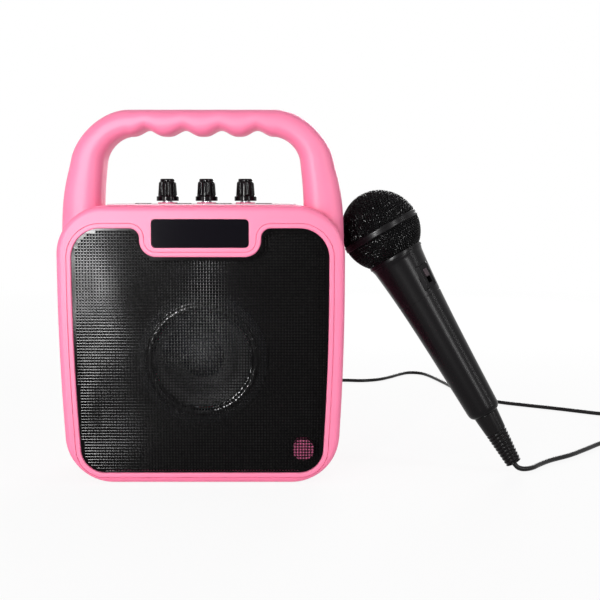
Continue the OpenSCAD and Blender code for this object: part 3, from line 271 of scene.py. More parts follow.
def material(name, color, roughness, vary=0.03, patch=40, grain=1500, relief=0.00002, pattern="grain",
             rough_vary=0.04, metallic=0.0, specular=0.5, coat=0.0, direction=None):
    """A principled material with drifting colour, varied gloss and a fine relief."""
    made = bpy.data.materials.new(name)
    made.use_nodes = True
    tree = made.node_tree
    shader = tree.nodes["Principled BSDF"]
    for socket, value in (("Metallic", metallic), ("Specular IOR Level", specular), ("Coat Weight", coat),
                          ("Coat Roughness", 0.1)):
        shader.inputs[socket].default_value = value

    def node(kind, **values):
        n = tree.nodes.new(kind)
        for key, value in values.items():
            n.inputs[key].default_value = value
        return n

    place = tree.nodes.new("ShaderNodeTexCoord").outputs["Object"]
    if direction:
        stretch = node("ShaderNodeMapping", Scale=direction)
        tree.links.new(place, stretch.inputs["Vector"])
        fine_place = stretch.outputs["Vector"]
    else:
        fine_place = place

    cloud = node("ShaderNodeTexNoise", Scale=patch, Detail=5, Roughness=0.55)
    tree.links.new(place, cloud.inputs["Vector"])
    tint = tree.nodes.new("ShaderNodeMix")
    tint.data_type = "RGBA"
    darker = tuple(c * (1 - vary) for c in color[:3]) + (1,)
    lighter = tuple(min(1, c * (1 + vary)) for c in color[:3]) + (1,)
    tint.inputs[6].default_value = darker
    tint.inputs[7].default_value = lighter
    tree.links.new(cloud.outputs["Fac"], tint.inputs["Factor"])
    tree.links.new(tint.outputs[2], shader.inputs["Base Color"])

    if pattern == "grain":
        fine = node("ShaderNodeTexNoise", Scale=grain, Detail=3, Roughness=0.6)
        height = fine.outputs["Fac"]
    elif pattern == "cells":
        fine = node("ShaderNodeTexVoronoi", Scale=grain)
        height = fine.outputs["Distance"]
    else:
        fine = node("ShaderNodeTexWave", Scale=grain, Distortion=0.6, Detail=2)
        fine.wave_type = "RINGS" if pattern == "rings" else "BANDS"
        if pattern == "rings":
            fine.rings_direction = "Y"
        height = fine.outputs["Fac"]
    tree.links.new(fine_place, fine.inputs["Vector"])
    bump = node("ShaderNodeBump", Strength=0.6, Distance=relief)
    tree.links.new(height, bump.inputs["Height"])
    tree.links.new(bump.outputs["Normal"], shader.inputs["Normal"])

    gloss = node("ShaderNodeMapRange", **{"To Min": max(0, roughness - rough_vary),
                                          "To Max": min(1, roughness + rough_vary)})
    tree.links.new(height, gloss.inputs["Value"])
    tree.links.new(gloss.outputs["Result"], shader.inputs["Roughness"])
    return made


pink = material("pink_plastic", srgb(248, 130, 168), 0.45, vary=0.02, patch=25, grain=2600,
                relief=0.000012, specular=0.22)
# The support post seen through the grille is the casing's pink plastic, darkened here as painted shade for
# the dark behind the sheet
post_pink_painted_shade = material("post_pink_painted_shade", srgb(178, 74, 116), 0.5, vary=0.04, relief=0.00001, specular=0.2)
window_black = material("window", srgb(14, 12, 18), 0.12, vary=0.05, grain=900, relief=0.000001,
                        rough_vary=0.02, specular=0.03)
gloss_black = material("black_gloss", srgb(10, 8, 10), 0.28, vary=0.08, grain=1800, relief=0.000003,
                       rough_vary=0.04, specular=0.1)
knob_black = material("knob_black", srgb(10, 8, 10), 0.14, vary=0.08, grain=1800, relief=0.000001,
                      rough_vary=0.03, specular=0.08)
satin_black = material("black_satin", srgb(14, 12, 13), 0.3, vary=0.08, grain=2400, relief=0.000001,
                       rough_vary=0.01, specular=0.09)
switch_plastic = material("switch_plastic", srgb(62, 50, 55), 0.4, vary=0.05, relief=0.000002, specular=0.2)
grille_paint = material("grille_paint", srgb(3, 2, 3), 0.13, vary=0.1, grain=3000, relief=0.0000005,
                        rough_vary=0.02, specular=0.06)
pale_plate = material("pale_plate", srgb(206, 186, 194), 0.45, vary=0.015, grain=2600, relief=0.00001)
rubber = material("foot_rubber", srgb(28, 27, 28), 0.75, vary=0.1, grain=1800, relief=0.00003, specular=0.2)
jacket = material("lead_jacket", srgb(16, 15, 16), 0.36, vary=0.08, grain=1600, relief=0.000015,
                  specular=0.14)
mesh_paint = material("mic_mesh", srgb(3, 2, 3), 0.21, vary=0.15, grain=2500, relief=0.000001,
                      rough_vary=0.03, specular=0.1)
screw_black = material("black_screws", srgb(14, 13, 14), 0.4, vary=0.1, grain=1200, relief=0.00001,
                       specular=0.15)
foam = material("mic_foam", srgb(12, 12, 13), 0.95, vary=0.3, grain=1400, relief=0.0003, pattern="cells",
                specular=0.1)
steel = material("steel", srgb(190, 191, 195), 0.3, vary=0.03, grain=900, relief=0.000006, metallic=1.0,
                 direction=(1, 12, 1))
socket_steel = material("socket_steel", srgb(176, 177, 182), 0.34, vary=0.04, grain=1200,
                        relief=0.000006, metallic=1.0, direction=(12, 1, 1))
jack_plastic = material("jack_plastic", srgb(20, 20, 21), 0.5, vary=0.08, grain=2000, relief=0.00001,
                        specular=0.25)
board_green = material("circuit_board", srgb(24, 92, 58), 0.45, vary=0.25, patch=320, grain=900,
                       relief=0.00004, pattern="cells")
component = material("component_plastic", srgb(30, 30, 32), 0.5, vary=0.1, relief=0.00001)
pot_metal = material("pot_metal", srgb(120, 122, 126), 0.4, vary=0.05, relief=0.00001, metallic=0.9)
fibreboard = material("fibreboard", srgb(24, 22, 21), 0.85, vary=0.25, patch=160, grain=1100,
                      relief=0.00006, specular=0.2)
basket_metal = material("basket_metal", srgb(20, 20, 22), 0.4, vary=0.08, grain=1600, relief=0.00001,
                        specular=0.15)
gasket_foam = material("gasket_foam", srgb(9, 9, 9), 0.95, vary=0.2, grain=1600, relief=0.00012,
                       pattern="cells", specular=0.1)
surround_rubber = material("surround_rubber", srgb(16, 15, 16), 0.16, vary=0.08, grain=1500,
                           relief=0.000004, specular=0.35)
cone_paper = material("cone_material", srgb(30, 29, 31), 0.6, vary=0.15, patch=120, grain=260,
                      relief=0.00008, pattern="rings", specular=0.4)
copper = material("copper_coil", srgb(196, 112, 62), 0.3, vary=0.06, grain=1400, relief=0.00006,
                  pattern="bands", metallic=1.0, direction=(0.01, 1, 0.01))
spider_cloth = material("spider_cloth", srgb(178, 132, 78), 0.85, vary=0.1, grain=500, relief=0.00012,
                        pattern="rings")
ferrite = material("ferrite", srgb(54, 55, 58), 0.6, vary=0.12, patch=90, relief=0.00003)
cell_sleeve = material("cell_sleeve", srgb(48, 104, 168), 0.28, vary=0.04, relief=0.000008, coat=0.3)
wire_jacket = material("wire_jacket", srgb(176, 34, 34), 0.4, vary=0.06, relief=0.00001)

# The CAD nodes that show themselves, by their look
carried = {
    pink: ["control_deck"],
    # The support post takes the pink darkened as painted shade
    post_pink_painted_shade: ["mesh_support_post"],
    pale_plate: ["deck_overlay"],
    rubber: ["feet"],
    steel: ["case_screws", "shaft_mic_volume", "shaft_echo", "shaft_music_volume", "magnet_top_plate",
            "pole_piece", "mic_capsule"],
    screw_black: ["driver_screws"],
    gloss_black: ["button_mode", "button_previous", "button_play", "button_next", "power_slider"],
    component: ["display_module", "tact_switches", "power_switch_body", "battery_cradle"],
    pot_metal: ["potentiometers"],
    board_green: ["control_board", "main_board"],
    fibreboard: ["baffle_board"],
    basket_metal: ["driver_basket"],
    gasket_foam: ["driver_gasket"],
    cone_paper: ["driver_cone", "driver_dust_cap"],
    copper: ["voice_coil"],
    spider_cloth: ["driver_spider"],
    ferrite: ["driver_magnet"],
    satin_black: ["back_plate"],
    switch_plastic: ["mic_switch_slider"],
    jack_plastic: ["mic_jack", "aux_jack"],
    socket_steel: ["usb_socket", "card_slot", "charge_socket"],
    cell_sleeve: ["battery_cell"],
    wire_jacket: ["inner_wires"],
    foam: ["mic_foam"],
}
# How far the edges of some of them are rounded
softened = {
    "control_deck": 0.3, "deck_overlay": 0.2, "back_plate": 0.25, "power_slider": 0.3, "mic_jack": 0.2,
    "aux_jack": 0.2, "mic_switch_slider": 0.25, "button_mode": 0.35, "button_previous": 0.35,
    "button_play": 0.35, "button_next": 0.35, "usb_socket": 0.08, "card_slot": 0.08,
    "charge_socket": 0.08, "mesh_support_post": 0.4, "feet": 0.25,
}
for look, names in carried.items():
    for name in names:
        solid = nodes[name]
        solid.data.materials.clear()
        solid.data.materials.append(look)
        if name in softened:
            weld = solid.modifiers.new("weld", "WELD")
            weld.merge_threshold = MERGE * MM
            edge = solid.modifiers.new("edge", "BEVEL")
            edge.width = softened[name] * MM
            edge.segments = 3
            edge.limit_method = "ANGLE"
            edge.angle_limit = radians(40)
            solid.modifiers.new("normals", "WEIGHTED_NORMAL").keep_sharp = True

# ---- the lead: its route is the part's -----------------------------------------------------------

MIC_HEAD = Vector((0, MIC_Y, MIC_TIP_Z + BOOT_END_S * cos(radians(MIC_TILT))))
corner_level = max(0, MIC_HEAD.z - (BODY_H - CORNER_R))
MIC_HEAD.x = HALF_W - CORNER_R + sqrt((CORNER_R + BAND_R + CLEAR) ** 2 - corner_level ** 2)
ON_MIC = (Matrix.Translation(MIC_HEAD) @ Matrix.Rotation(radians(MIC_YAW), 4, "Z")
          @ Matrix.Rotation(radians(-MIC_TILT), 4, "Y"))
MIC_AXIS = ON_MIC.to_3x3() @ Vector((0, 0, -1))
MIC_TIP = MIC_HEAD + BOOT_END_S * MIC_AXIS
PLUG_AT, SLEEVE_L = Vector((28, 40.1, 35)), 29.0
LEAD_END = PLUG_AT + Vector((0, SLEEVE_L, 0))
# The route is drawn for a microphone whose tip is at ROUTE_X, with straight ends of STRAIGHT
ROUTE_X, ROUTE_STEPS, STRAIGHT = 197.3, 5, 5
LEAD_X = MIC_TIP.x - ROUTE_X
COIL_TURNS, COIL_START, COIL_STEPS, COIL_PITCH, COIL_INNER_R, COIL_LIFT = 6.28, -48, 24, 3.7, 11, 0.7
COIL_PLACE = (318 + LEAD_X, 112)


def smooth_point(p, i, t):
    a, b, c, d = p[max(0, i - 1)], p[i], p[i + 1], p[min(len(p) - 1, i + 2)]
    return 0.5 * (2 * b + (c - a) * t + (2 * a - 5 * b + 4 * c - d) * t * t
                  + (3 * b - a - 3 * c + d) * t ** 3)


def smoothed(points, steps):
    p = [Vector(q) for q in points]
    return [smooth_point(p, i, k / steps) for i in range(len(p) - 1) for k in range(steps)] + [p[-1]]


def coil_point(turn):
    """In for half of the turns, up a layer in the half turn in the middle, and out again."""
    r = COIL_INNER_R + COIL_PITCH * abs(turn - COIL_TURNS / 2)
    a = radians(COIL_START + 360 * turn)
    climb = min(1, max(0, (turn - COIL_TURNS / 2) * 2 + 0.5))
    return Vector((COIL_PLACE[0] + r * cos(a), COIL_PLACE[1] + r * sin(a),
                   COIL_LIFT + LEAD_R + COIL_PITCH * climb))


def with_tip(points, last):
    """Points moved along X with the microphone's tip, the first all the way and the last by the share last.

    A point without a height lies on the table.
    """
    return [Vector((*p, LEAD_R)[:3]) + Vector((LEAD_X * (1 + (last - 1) * i / len(points)), 0, 0))
            for i, p in enumerate(points)]


def tube(shape, path, r, sides, end_caps=True, turns=None):
    """A tube along a path, whose sides run along with it, turned at each point by turns."""
    rings, side = [], Vector((0.3, 0.2, 1))
    for i, p in enumerate(path):
        ahead = (path[min(len(path) - 1, i + 1)] - path[max(0, i - 1)]).normalized()
        side = (side - ahead * side.dot(ahead)).normalized()
        other = ahead.cross(side)
        start = turns[i] if turns else 0
        angles = [start + 2 * pi * k / sides for k in range(sides)]
        rings.append([p + r * (side * cos(a) + other * sin(a)) for a in angles])
    return shape.solid(rings) if end_caps else shape.wall(rings)


coil_count = ceil(COIL_TURNS * COIL_STEPS)
coil = [coil_point(COIL_TURNS * i / coil_count) for i in range(coil_count + 1)]
coil_in = (coil[1] - coil[0]).normalized()
coil_out = (coil[-1] - coil[-2]).normalized()
coil_start, coil_end = coil[0] - coil_in * 2 * LEAD_R, coil[-1] + coil_out * 2 * LEAD_R
to_coil = [MIC_TIP] + smoothed([MIC_TIP + MIC_AXIS] + with_tip([
    (200.2, -10.4, 2.6), (204, -10.3, 1.7), (210, -7), (217, 1.5), (227, 12), (243, 25), (259, 42),
    (276, 60), (297, 71, 1.7), (315, 78, 2),
], 1) + [coil_start - STRAIGHT * coil_in], ROUTE_STEPS)
to_plug = smoothed([coil_end + STRAIGHT * coil_out] + with_tip([
    (314, 147, 3.4), (303, 156, 1.8), (289, 166), (271, 178), (248, 192), (229, 205), (213, 226),
    (204, 256), (197, 292), (187, 333), (179, 348), (168, 350), (158, 340), (148, 326), (135, 312),
    (119, 306), (101, 308), (80, 304), (62, 286), (50, 255), (43, 215), (38, 178),
    (34, 148, 1.7), (32, 128, 2.4), (30, 114, 10), (29, 101, 23), (28, 88, 32),
], 0) + [LEAD_END + Vector((0, STRAIGHT, 0))], ROUTE_STEPS) + [LEAD_END]
route = to_coil + [coil_start] + coil + [coil_end] + to_plug
lead = piece("lead", tube(Shape(), route, LEAD_R, 12).mesh(), jacket, "microphone",
             ["mic_lead", "lead_coil"], weighted=False)

# The tie round the coil's bundle, a rounded band in the upright plane through the coil's middle
TIE_R, TIE_Z, TIE_HALF_L, TIE_HALF_H, TIE_CORNER_R = 16.8, 4.15, 8.3, 3.95, 3.2
tie_a = radians(150)
out = Vector((cos(tie_a), sin(tie_a), 0))
across = Vector((-out.y, out.x, 0))
band = [(TIE_R + (TIE_HALF_L - TIE_CORNER_R) * sx + TIE_CORNER_R * cos(t),
         TIE_Z + (TIE_HALF_H - TIE_CORNER_R) * sz + TIE_CORNER_R * sin(t))
        for sx, sz, a0 in ((1, 1, 0), (-1, 1, 90), (-1, -1, 180), (1, -1, 270))
        for t in [radians(a0 + 10 * i) for i in range(10)]]


def tie_at(along, thin):
    """The tie's outline, drawn in by thin, at a distance along the lead from the tie's middle."""
    centre = Vector((COIL_PLACE[0], COIL_PLACE[1], 0))
    mid = Vector((TIE_R, TIE_Z))
    ring = []
    for p in band:
        d = Vector(p) - mid
        d = d * (1 - thin / d.length)
        ring.append(centre + out * (mid.x + d.x) + across * along + Vector((0, 0, mid.y + d.y)))
    return ring


tie_shape = Shape().wall([tie_at(along, thin) for along, thin in (
    (-2.6, 0.75), (-2.6, 0.2), (-2.4, 0), (2.4, 0), (2.6, 0.2), (2.6, 0.75))], loop=True)
tie = piece("coil_tie", tie_shape.mesh(), satin_black, "microphone")

# The plug, with its pin, rings and ribbed sleeve
PLUG = Matrix.Translation(PLUG_AT) @ Matrix.Rotation(radians(-90), 4, "X")
sleeve = [(4.05, 0.0), (4.2, 0.4), (4.2, 10.6), (4.0, 11.0), (4.0, 11.5), (4.2, 11.9), (4.2, 14.6),
          (3.8, 15.0), (3.5, 15.2)]
for rib in range(7):
    z = 16 + rib * 1.75
    r = 3.4 - rib * 0.15
    sleeve += [(r - 0.45, z - 0.25), (r - 0.45, z), (r, z + 0.25), (r, z + 1.0), (r - 0.45, z + 1.25)]
sleeve += [(2.0, SLEEVE_L - 0.4), (1.5, SLEEVE_L)]
plug_shape = Shape(PLUG).turned([(1.2, 0.0)] + sleeve + [(0.0, SLEEVE_L)], 48).turned([(0, 0), (1.2, 0)], 48)
plug = piece("plug", plug_shape.mesh(), satin_black, "microphone", ["mic_plug"])
pin_shape = Shape(PLUG).turned([
    (0, -14), (0.7, -13.7), (1.35, -12.6), (1.1, -11.6), (1.1, -11.3), (1.75, -10.8), (1.75, -9.4),
    (1.68, -9.3), (1.68, -8.9), (1.75, -8.8), (1.75, -4.6), (1.68, -4.5), (1.68, -4.1), (1.75, -4.0),
    (1.75, 0.2), (0, 0.2)], 40)
pin = piece("plug_pin", pin_shape.mesh(), steel, "microphone")

# ---- front frame ---------------------------------------------------------------------------------

def window_outline(e):
    return rounded_box(WINDOW_W + 2 * e, WINDOW_H + 2 * e, max(0.4, WINDOW_R + e), 0, WINDOW_Z)


RIM = RING_W + SEAM
shell = Shape().stack(casing_outline, rounding(FRAME_STEP, FRONT_Y, FRONT_EDGE_R, range(90, -1, -10)) + [
    (FRAME_STEP, JOIN_Y - 0.3), (FRAME_STEP + 0.3, JOIN_Y), (WALL + SLIP, JOIN_Y),
    (WALL + SLIP, BAFFLE_BACK_Y - SLIP), (RIM_IN, BAFFLE_BACK_Y - SLIP), (RIM_IN, FACE_BACK_Y)])
opening = Shape().stack(opening_outline, [
    (RIM + 0.9, FRONT_Y - 0.6), (RIM + 0.12, FRONT_Y + 0.02), (RIM, FRONT_Y + 0.16), (RIM, FACE_BACK_Y + 1)])
pane = Shape().stack(window_outline, [
    (SLIP + 0.5, FRONT_Y - 0.4), (SLIP + 0.08, FRONT_Y + 0.06), (SLIP, FRONT_Y + 0.2),
    (SLIP, FRONT_Y + WINDOW_T), (-2, FRONT_Y + WINDOW_T), (-2, FACE_BACK_Y + 1)])
front_frame = combined(combined(shell.mesh(), opening.mesh(), "DIFFERENCE"), pane.mesh(), "DIFFERENCE")
piece("front_frame_moulding", front_frame, pink, "casing", ["front_frame"])

# ---- ring round the grille -----------------------------------------------------------------------

flange = [(x, max(z, RIM_IN + SLIP)) for x, z in opening_outline(RING_FLANGE_W)]
steps = ([(-0.8, FLANGE_BACK_Y), (-0.8, GRILLE_Y + GRILLE_T), (0, GRILLE_Y + GRILLE_T)]
         + rounding(0, FRONT_Y, RING_EDGE_R, (0, 22, 45, 67, 90))
         + [(RING_W - 0.14, FRONT_Y), (RING_W - 0.03, FRONT_Y + 0.06), (RING_W, FRONT_Y + 0.18),
            (RING_W, FRONT_Y + 0.5), (RIM - 0.03, FRONT_Y + 0.7), (RIM - 0.03, FACE_BACK_Y)])
ring = Shape().wall([at_y(opening_outline(e), y) for e, y in steps]
                    + [at_y(flange, y) for y in (FACE_BACK_Y, FLANGE_BACK_Y)], loop=True)
piece("grille_ring_moulding", ring.mesh(), pink, "casing", ["grille_ring"])

# ---- window --------------------------------------------------------------------------------------

glass = Shape().stack(window_outline, [
    (-0.3, FRONT_Y), (-0.1, FRONT_Y + 0.06), (0, FRONT_Y + 0.25), (0, FRONT_Y + WINDOW_T)])
piece("window_pane", glass.mesh(), window_black, "casing", ["display_window"])

# ---- perforated grille ---------------------------------------------------------------------------

# HALF_HOLE is half a hole's side. RIDGE_OUT is how far the bars between the holes stand out
PITCH, HALF_HOLE, HOLE_DEEP, RIDGE_OUT = 1.8, 0.6, 0.5, 0.045
SHEET_IN, FADE_W, EDGE_MARGIN, EDGE_DEEP = 0.5, 14, 0.85, 0.65
sheet_edge = opening_outline(-SLIP)


def inside(x, z, outline):
    """Whether a point lies inside an outline."""
    crossings = False
    for (x0, z0), (x1, z1) in zip(outline, outline[1:] + outline[:1]):
        if (z0 > z) != (z1 > z) and x < x0 + (z - z0) * (x1 - x0) / (z1 - z0):
            crossings = not crossings
    return crossings


def edge_fade(x, z):
    """1 in the middle of the opening and 0 at its edge."""
    room = min(side_x(z) - GRILLE_SIDE - abs(x), z - GRILLE_BOTTOM_Z, GRILLE_TOP_Z - z)
    return min(1, max(0, room / FADE_W))


def sheet_y(x, z):
    """The thin sheet isn't quite flat."""
    wave = (sin(x / 9.5 + z / 31) * 0.07 + sin(z / 8.3 - x / 40 + 1) * 0.12 + sin((x + z) / 13) * 0.05
            + sin((x - 1.4 * z) / 23) * 0.1)
    return GRILLE_Y + SHEET_IN + wave * edge_fade(x, z)


columns = int(2 * HALF_W / PITCH) // 2
rows = int((GRILLE_TOP_Z - GRILLE_BOTTOM_Z) / PITCH)
z_first = GRILLE_BOTTOM_Z + PITCH * 0.5
margin = opening_outline(-EDGE_MARGIN)
corner_inside = {(i, k): inside(i * PITCH, z_first + k * PITCH, margin)
                 for i in range(-columns, columns + 1) for k in range(-1, rows + 1)}
cells = {(i, k) for i in range(-columns, columns) for k in range(-1, rows)
         if all(corner_inside[i + a, k + b] for a in (0, 1) for b in (0, 1))}
points, faces, index = [], [], {}


def sheet_point(x, z, deep=0.0):
    """The number of the sheet's point at a place and depth, made when it's new."""
    key = (round(x * 1000), round(z * 1000), deep)
    if key not in index:
        index[key] = len(points)
        points.append(Vector((x, sheet_y(x, z) + deep, z)))
    return index[key]


for i, k in sorted(cells):
    x0, z0 = i * PITCH, z_first + k * PITCH
    cx, cz = x0 + PITCH / 2, z0 + PITCH / 2
    ends = [(x0, z0), (x0 + PITCH, z0), (x0 + PITCH, z0 + PITCH), (x0, z0 + PITCH)]
    rim = [(cx + a * HALF_HOLE, cz + b * HALF_HOLE) for a, b in ((-1, -1), (1, -1), (1, 1), (-1, 1))]
    cross = [sheet_point(x, z, -RIDGE_OUT) for x, z in ends]
    front = [sheet_point(x, z) for x, z in rim]
    back = [sheet_point(x, z, HOLE_DEEP) for x, z in rim]
    for m in range(4):
        n = (m + 1) % 4
        a, b = ends[m], ends[n]
        middle = sheet_point((a[0] + b[0]) / 2, (a[1] + b[1]) / 2, -RIDGE_OUT if m % 2 == 0 else 0.0)
        faces += [(cross[m], middle, front[m]), (middle, front[n], front[m]), (middle, cross[n], front[n]),
                  (front[m], front[n], back[n], back[m])]

# The plain rim between the outermost holes and the sheet's edge
follow = {}
for i, k in cells:
    for (di, dk), a, b in (((0, -1), (0, 0), (1, 0)), ((1, 0), (1, 0), (1, 1)), ((0, 1), (1, 1), (0, 1)),
                           ((-1, 0), (0, 1), (0, 0))):
        if (i + di, k + dk) not in cells:
            follow[(i + a[0], k + a[1])] = (i + b[0], k + b[1])
border, at = [], min(follow)
while at in follow:
    border.append(at)
    at = follow.pop(at)
rim_loops = [sheet_edge, [(i * PITCH, z_first + k * PITCH) for i, k in border]]
flat = [[Vector((x, z, 0)) for x, z in loop] for loop in rim_loops]
corners = flat[0] + flat[1]
edge_ids = [sheet_point(x, z) for x, z in sheet_edge]
ids = edge_ids + [sheet_point(x, z, -RIDGE_OUT) for x, z in rim_loops[1]]
for a, b, c in tessellate_polygon(flat):
    turn = (corners[b] - corners[a]).cross(corners[c] - corners[a]).z
    faces.append((ids[a], ids[b], ids[c]) if turn > 0 else (ids[a], ids[c], ids[b]))
edge_back = [sheet_point(x, z, EDGE_DEEP) for x, z in sheet_edge]
for m in range(len(edge_ids)):
    n = (m + 1) % len(edge_ids)
    faces.append((edge_ids[m], edge_back[m], edge_back[n], edge_ids[n]))
sheet = Shape()
sheet.points, sheet.faces = points, faces
piece("grille_sheet", sheet.mesh(merge=0, outward=False), grille_paint, "casing", ["grille"],
      sharp=2, weighted=False)

# ---- shells and handle ---------------------------------------------------------------------------

GRIP_HALF, GRIP_UNDER_Z = 2 * FINGER_PITCH, HANDLE_TOP - GRIP_T
ROOT_Z, LEG_OUT, LEG_IN = BODY_H - CORNER_R - 6, HALF_W - 0.4, HALF_W - LEG_W
SHOULDER_IN, SHOULDER_DROP, ARMPIT_IN, ARMPIT_DROP = 7.5, 28, 2.4, 15.5
SHOULDER = Vector((HALF_W - SHOULDER_IN, HANDLE_TOP - SHOULDER_DROP))
ARMPIT = Vector((LEG_IN - ARMPIT_IN, GRIP_UNDER_Z - ARMPIT_DROP))
LEG_STEPS, CORNER_STEPS, GRIP_STEPS, SECTION_STEPS, GROOVE_DEEP = 14, 20, 60, 26, 0.32


def bezier(p0, p1, p2, p3, t):
    p0, p1, p2, p3 = (Vector(p) for p in (p0, p1, p2, p3))
    return p0 * (1 - t) ** 3 + p1 * 3 * t * (1 - t) ** 2 + p2 * 3 * t * t * (1 - t) + p3 * t ** 3


def leg_pair(t):
    """The outer and the inner edge of a leg, from its root up."""
    return (bezier((LEG_OUT, ROOT_Z), (LEG_OUT + 0.8, BODY_H + 8), SHOULDER + Vector((4, -18)), SHOULDER, t),
            bezier((LEG_IN, ROOT_Z), (LEG_IN + 0.3, BODY_H + 8), ARMPIT + Vector((1.2, -12)), ARMPIT, t))


def corner_pair(t):
    """The outer and the inner edge of the handle's corner, from the leg to the grip."""
    return (bezier(SHOULDER, SHOULDER + Vector((-4.8, 15)), (GRIP_HALF + 14.5, HANDLE_TOP),
                   (GRIP_HALF, HANDLE_TOP), t),
            bezier(ARMPIT, ARMPIT + Vector((-1, 8)), (GRIP_HALF + 7.5, GRIP_UNDER_Z - 1),
                   (GRIP_HALF, GRIP_UNDER_Z), t))


def grip_pair(x):
    """The top of the grip and its underside, with the hollows for the fingers."""
    hollow = FINGER_DEPTH * (0.5 - 0.5 * cos(2 * pi * x / FINGER_PITCH)) ** FINGER_POWER
    return Vector((x, HANDLE_TOP)), Vector((x, GRIP_UNDER_Z + hollow))


half_arch = ([leg_pair(i / LEG_STEPS) for i in range(LEG_STEPS)]
             + [corner_pair(i / CORNER_STEPS) for i in range(CORNER_STEPS)]
             + [grip_pair(GRIP_HALF * i / GRIP_STEPS) for i in range(GRIP_STEPS, 0, -1)])
arch = half_arch + [grip_pair(0)] + [tuple(Vector((-p.x, p.y)) for p in pair) for pair in reversed(half_arch)]


def section(pair, side):
    """One half of the handle's section, with the fine groove of the parting line at both its ends."""
    middle, reach = (pair[0] + pair[1]) / 2, (pair[0] - pair[1]) / 2
    deep = HANDLE_FRONT if side < 0 else HANDLE_BACK
    notch, edge = 1 - GROOVE / reach.length, 0.9995
    half = [(notch, 0.0), (edge, GROOVE_DEEP / deep)]
    for i in range(1, SECTION_STEPS):
        a = pi * i / SECTION_STEPS
        r = (abs(cos(a)) ** SECTION_POWER + sin(a) ** SECTION_POWER) ** (-1 / SECTION_POWER)
        half.append((r * cos(a), r * sin(a)))
    half += [(-edge, GROOVE_DEEP / deep), (-notch, 0.0)]
    return [((middle + reach * u).x, PART_Y + side * deep * v, (middle + reach * u).y) for u, v in half]


def handle_half(side):
    return Shape().solid([section(pair, side) for pair in arch]).mesh()


def openings(y0, y1):
    """What is cut out of both shells: the deck's place and the seats of the feet."""
    half = DECK_HALF_L + CLEAR
    made = box_points(Shape(), -half, half, DECK_FRONT_Y - CLEAR, DECK_BACK_Y + CLEAR,
                      BODY_H - 3.5, BODY_H + 0.5)
    for x in (-FOOT_X, FOOT_X):
        for y in FOOT_ROWS_Y:
            if y0 < y < y1:
                made.solid([[(a, b, z) for a, b in circle(x, y, FOOT_HOLE_R)] for z in (-0.5, FOOT_HOLE_T)])
    return made


front_case = Shape().stack(casing_outline, [
    (0.25, JOIN_Y), (0.07, JOIN_Y + 0.08), (0, JOIN_Y + 0.25), (0, PART_Y - GROOVE), (GROOVE, PART_Y),
    (WALL, PART_Y), (WALL, BAFFLE_BACK_Y + 2.5), (9.5, BAFFLE_BACK_Y + 2.5), (9.5, BAFFLE_BACK_Y),
    (WALL, BAFFLE_BACK_Y), (WALL, JOIN_Y)], loop=True)
front_case = combined(front_case.mesh(), openings(JOIN_Y, PART_Y).mesh(), "DIFFERENCE")
piece("front_shell_moulding", joined(front_case, handle_half(-1)), pink, "casing",
      ["front_shell"])

outer = [(GROOVE, PART_Y), (0, PART_Y + GROOVE)] + rounding(
    0, BACK_Y, BACK_EDGE_R, [7.5 * i for i in range(13)], way=-1)
inner = [(WALL, PART_Y)] + rounding(WALL, BACK_Y - WALL, BACK_EDGE_R - WALL, range(0, 91, 15), way=-1)
rear_case = Shape().stack(casing_outline, outer[::-1] + inner)
cutter = openings(PART_Y, BACK_Y)
screw_places = [(s * x, z) for s in (-1, 1) for x, z in (
    (HALF_W - CORNER_R + SCREW_CORNER, BODY_H - CORNER_R + SCREW_CORNER),
    (side_x(SCREW_MIDDLE_Z) - WALL - WELL_OUT_R, SCREW_MIDDLE_Z),
    (side_x(CORNER_R) - CORNER_R + SCREW_CORNER, CORNER_R - SCREW_CORNER))]
wells = Shape()
for x, z in screw_places:
    cutter.stack(lambda r: circle(x, z, r), [
        (WELL_R, WELL_CUT_Y), (WELL_R, BACK_Y - 0.5), (WELL_MOUTH_R, BACK_Y + 0.4)])
    wells.stack(lambda r: circle(x, z, r), [
        (WELL_OUT_R, WELL_END_Y), (WELL_OUT_R, PART_Y), (WELL_HOLE_R, PART_Y), (WELL_HOLE_R, WELL_FLOOR_Y),
        (WELL_R, WELL_FLOOR_Y), (WELL_R, WELL_END_Y)], loop=True)
cutter.stack(lambda e: rounded_box(PLATE_W + 2 * e, PLATE_H + 2 * e, PLATE_R + e, 0, PLATE_Z), [
    (-2, BACK_Y - WALL - 0.5), (-2, PLATE_SEAT_Y), (SLIP, PLATE_SEAT_Y), (SLIP, BACK_Y - 0.25),
    (SLIP + 0.75, BACK_Y + 0.5)])
rear_case = combined(rear_case.mesh(), cutter.mesh(), "DIFFERENCE")
piece("rear_shell_moulding", joined(rear_case, wells.mesh(), handle_half(1)), pink, "casing",
      ["rear_shell"])

# ---- knobs ---------------------------------------------------------------------------------------

FLUTES, FLUTE_R, FLUTE_AT, KNOB_SIDES, MARK_HALF_W, MARK_DEEP = 9, 1.5, 6.4, 180, 0.45, 0.4
# Radius, height, and how far the flutes cut in, from 0 to 1
KNOB_PROFILE = [
    (0, 10, 0), (3.02, 10, 0), (3.02, 0, 0), (6.8, 0, 0), (7.1, 0.3, 0), (7.1, 2.6, 0), (6.95, 2.9, 0),
    (6.7, 3.0, 0), (6.25, 3.0, 0), (6.1, 3.2, 0), (6.07, 3.5, 0.15), (6.05, 3.7, 0.6), (6.03, 3.95, 1),
    (5.9, 5.5, 1), (5.77, 7.5, 1), (5.62, 9.8, 1), (5.5, 11.3, 1), (5.4, 11.7, 1), (5.2, 11.95, 1),
    (4.9, 12.25, 1), (4.62, 12.45, 1), (4.6, 12.6, 0), (4.6, 13.5, 0), (4.5, 13.85, 0),
    (4.25, KNOB_H, 0), (0, KNOB_H, 0)]


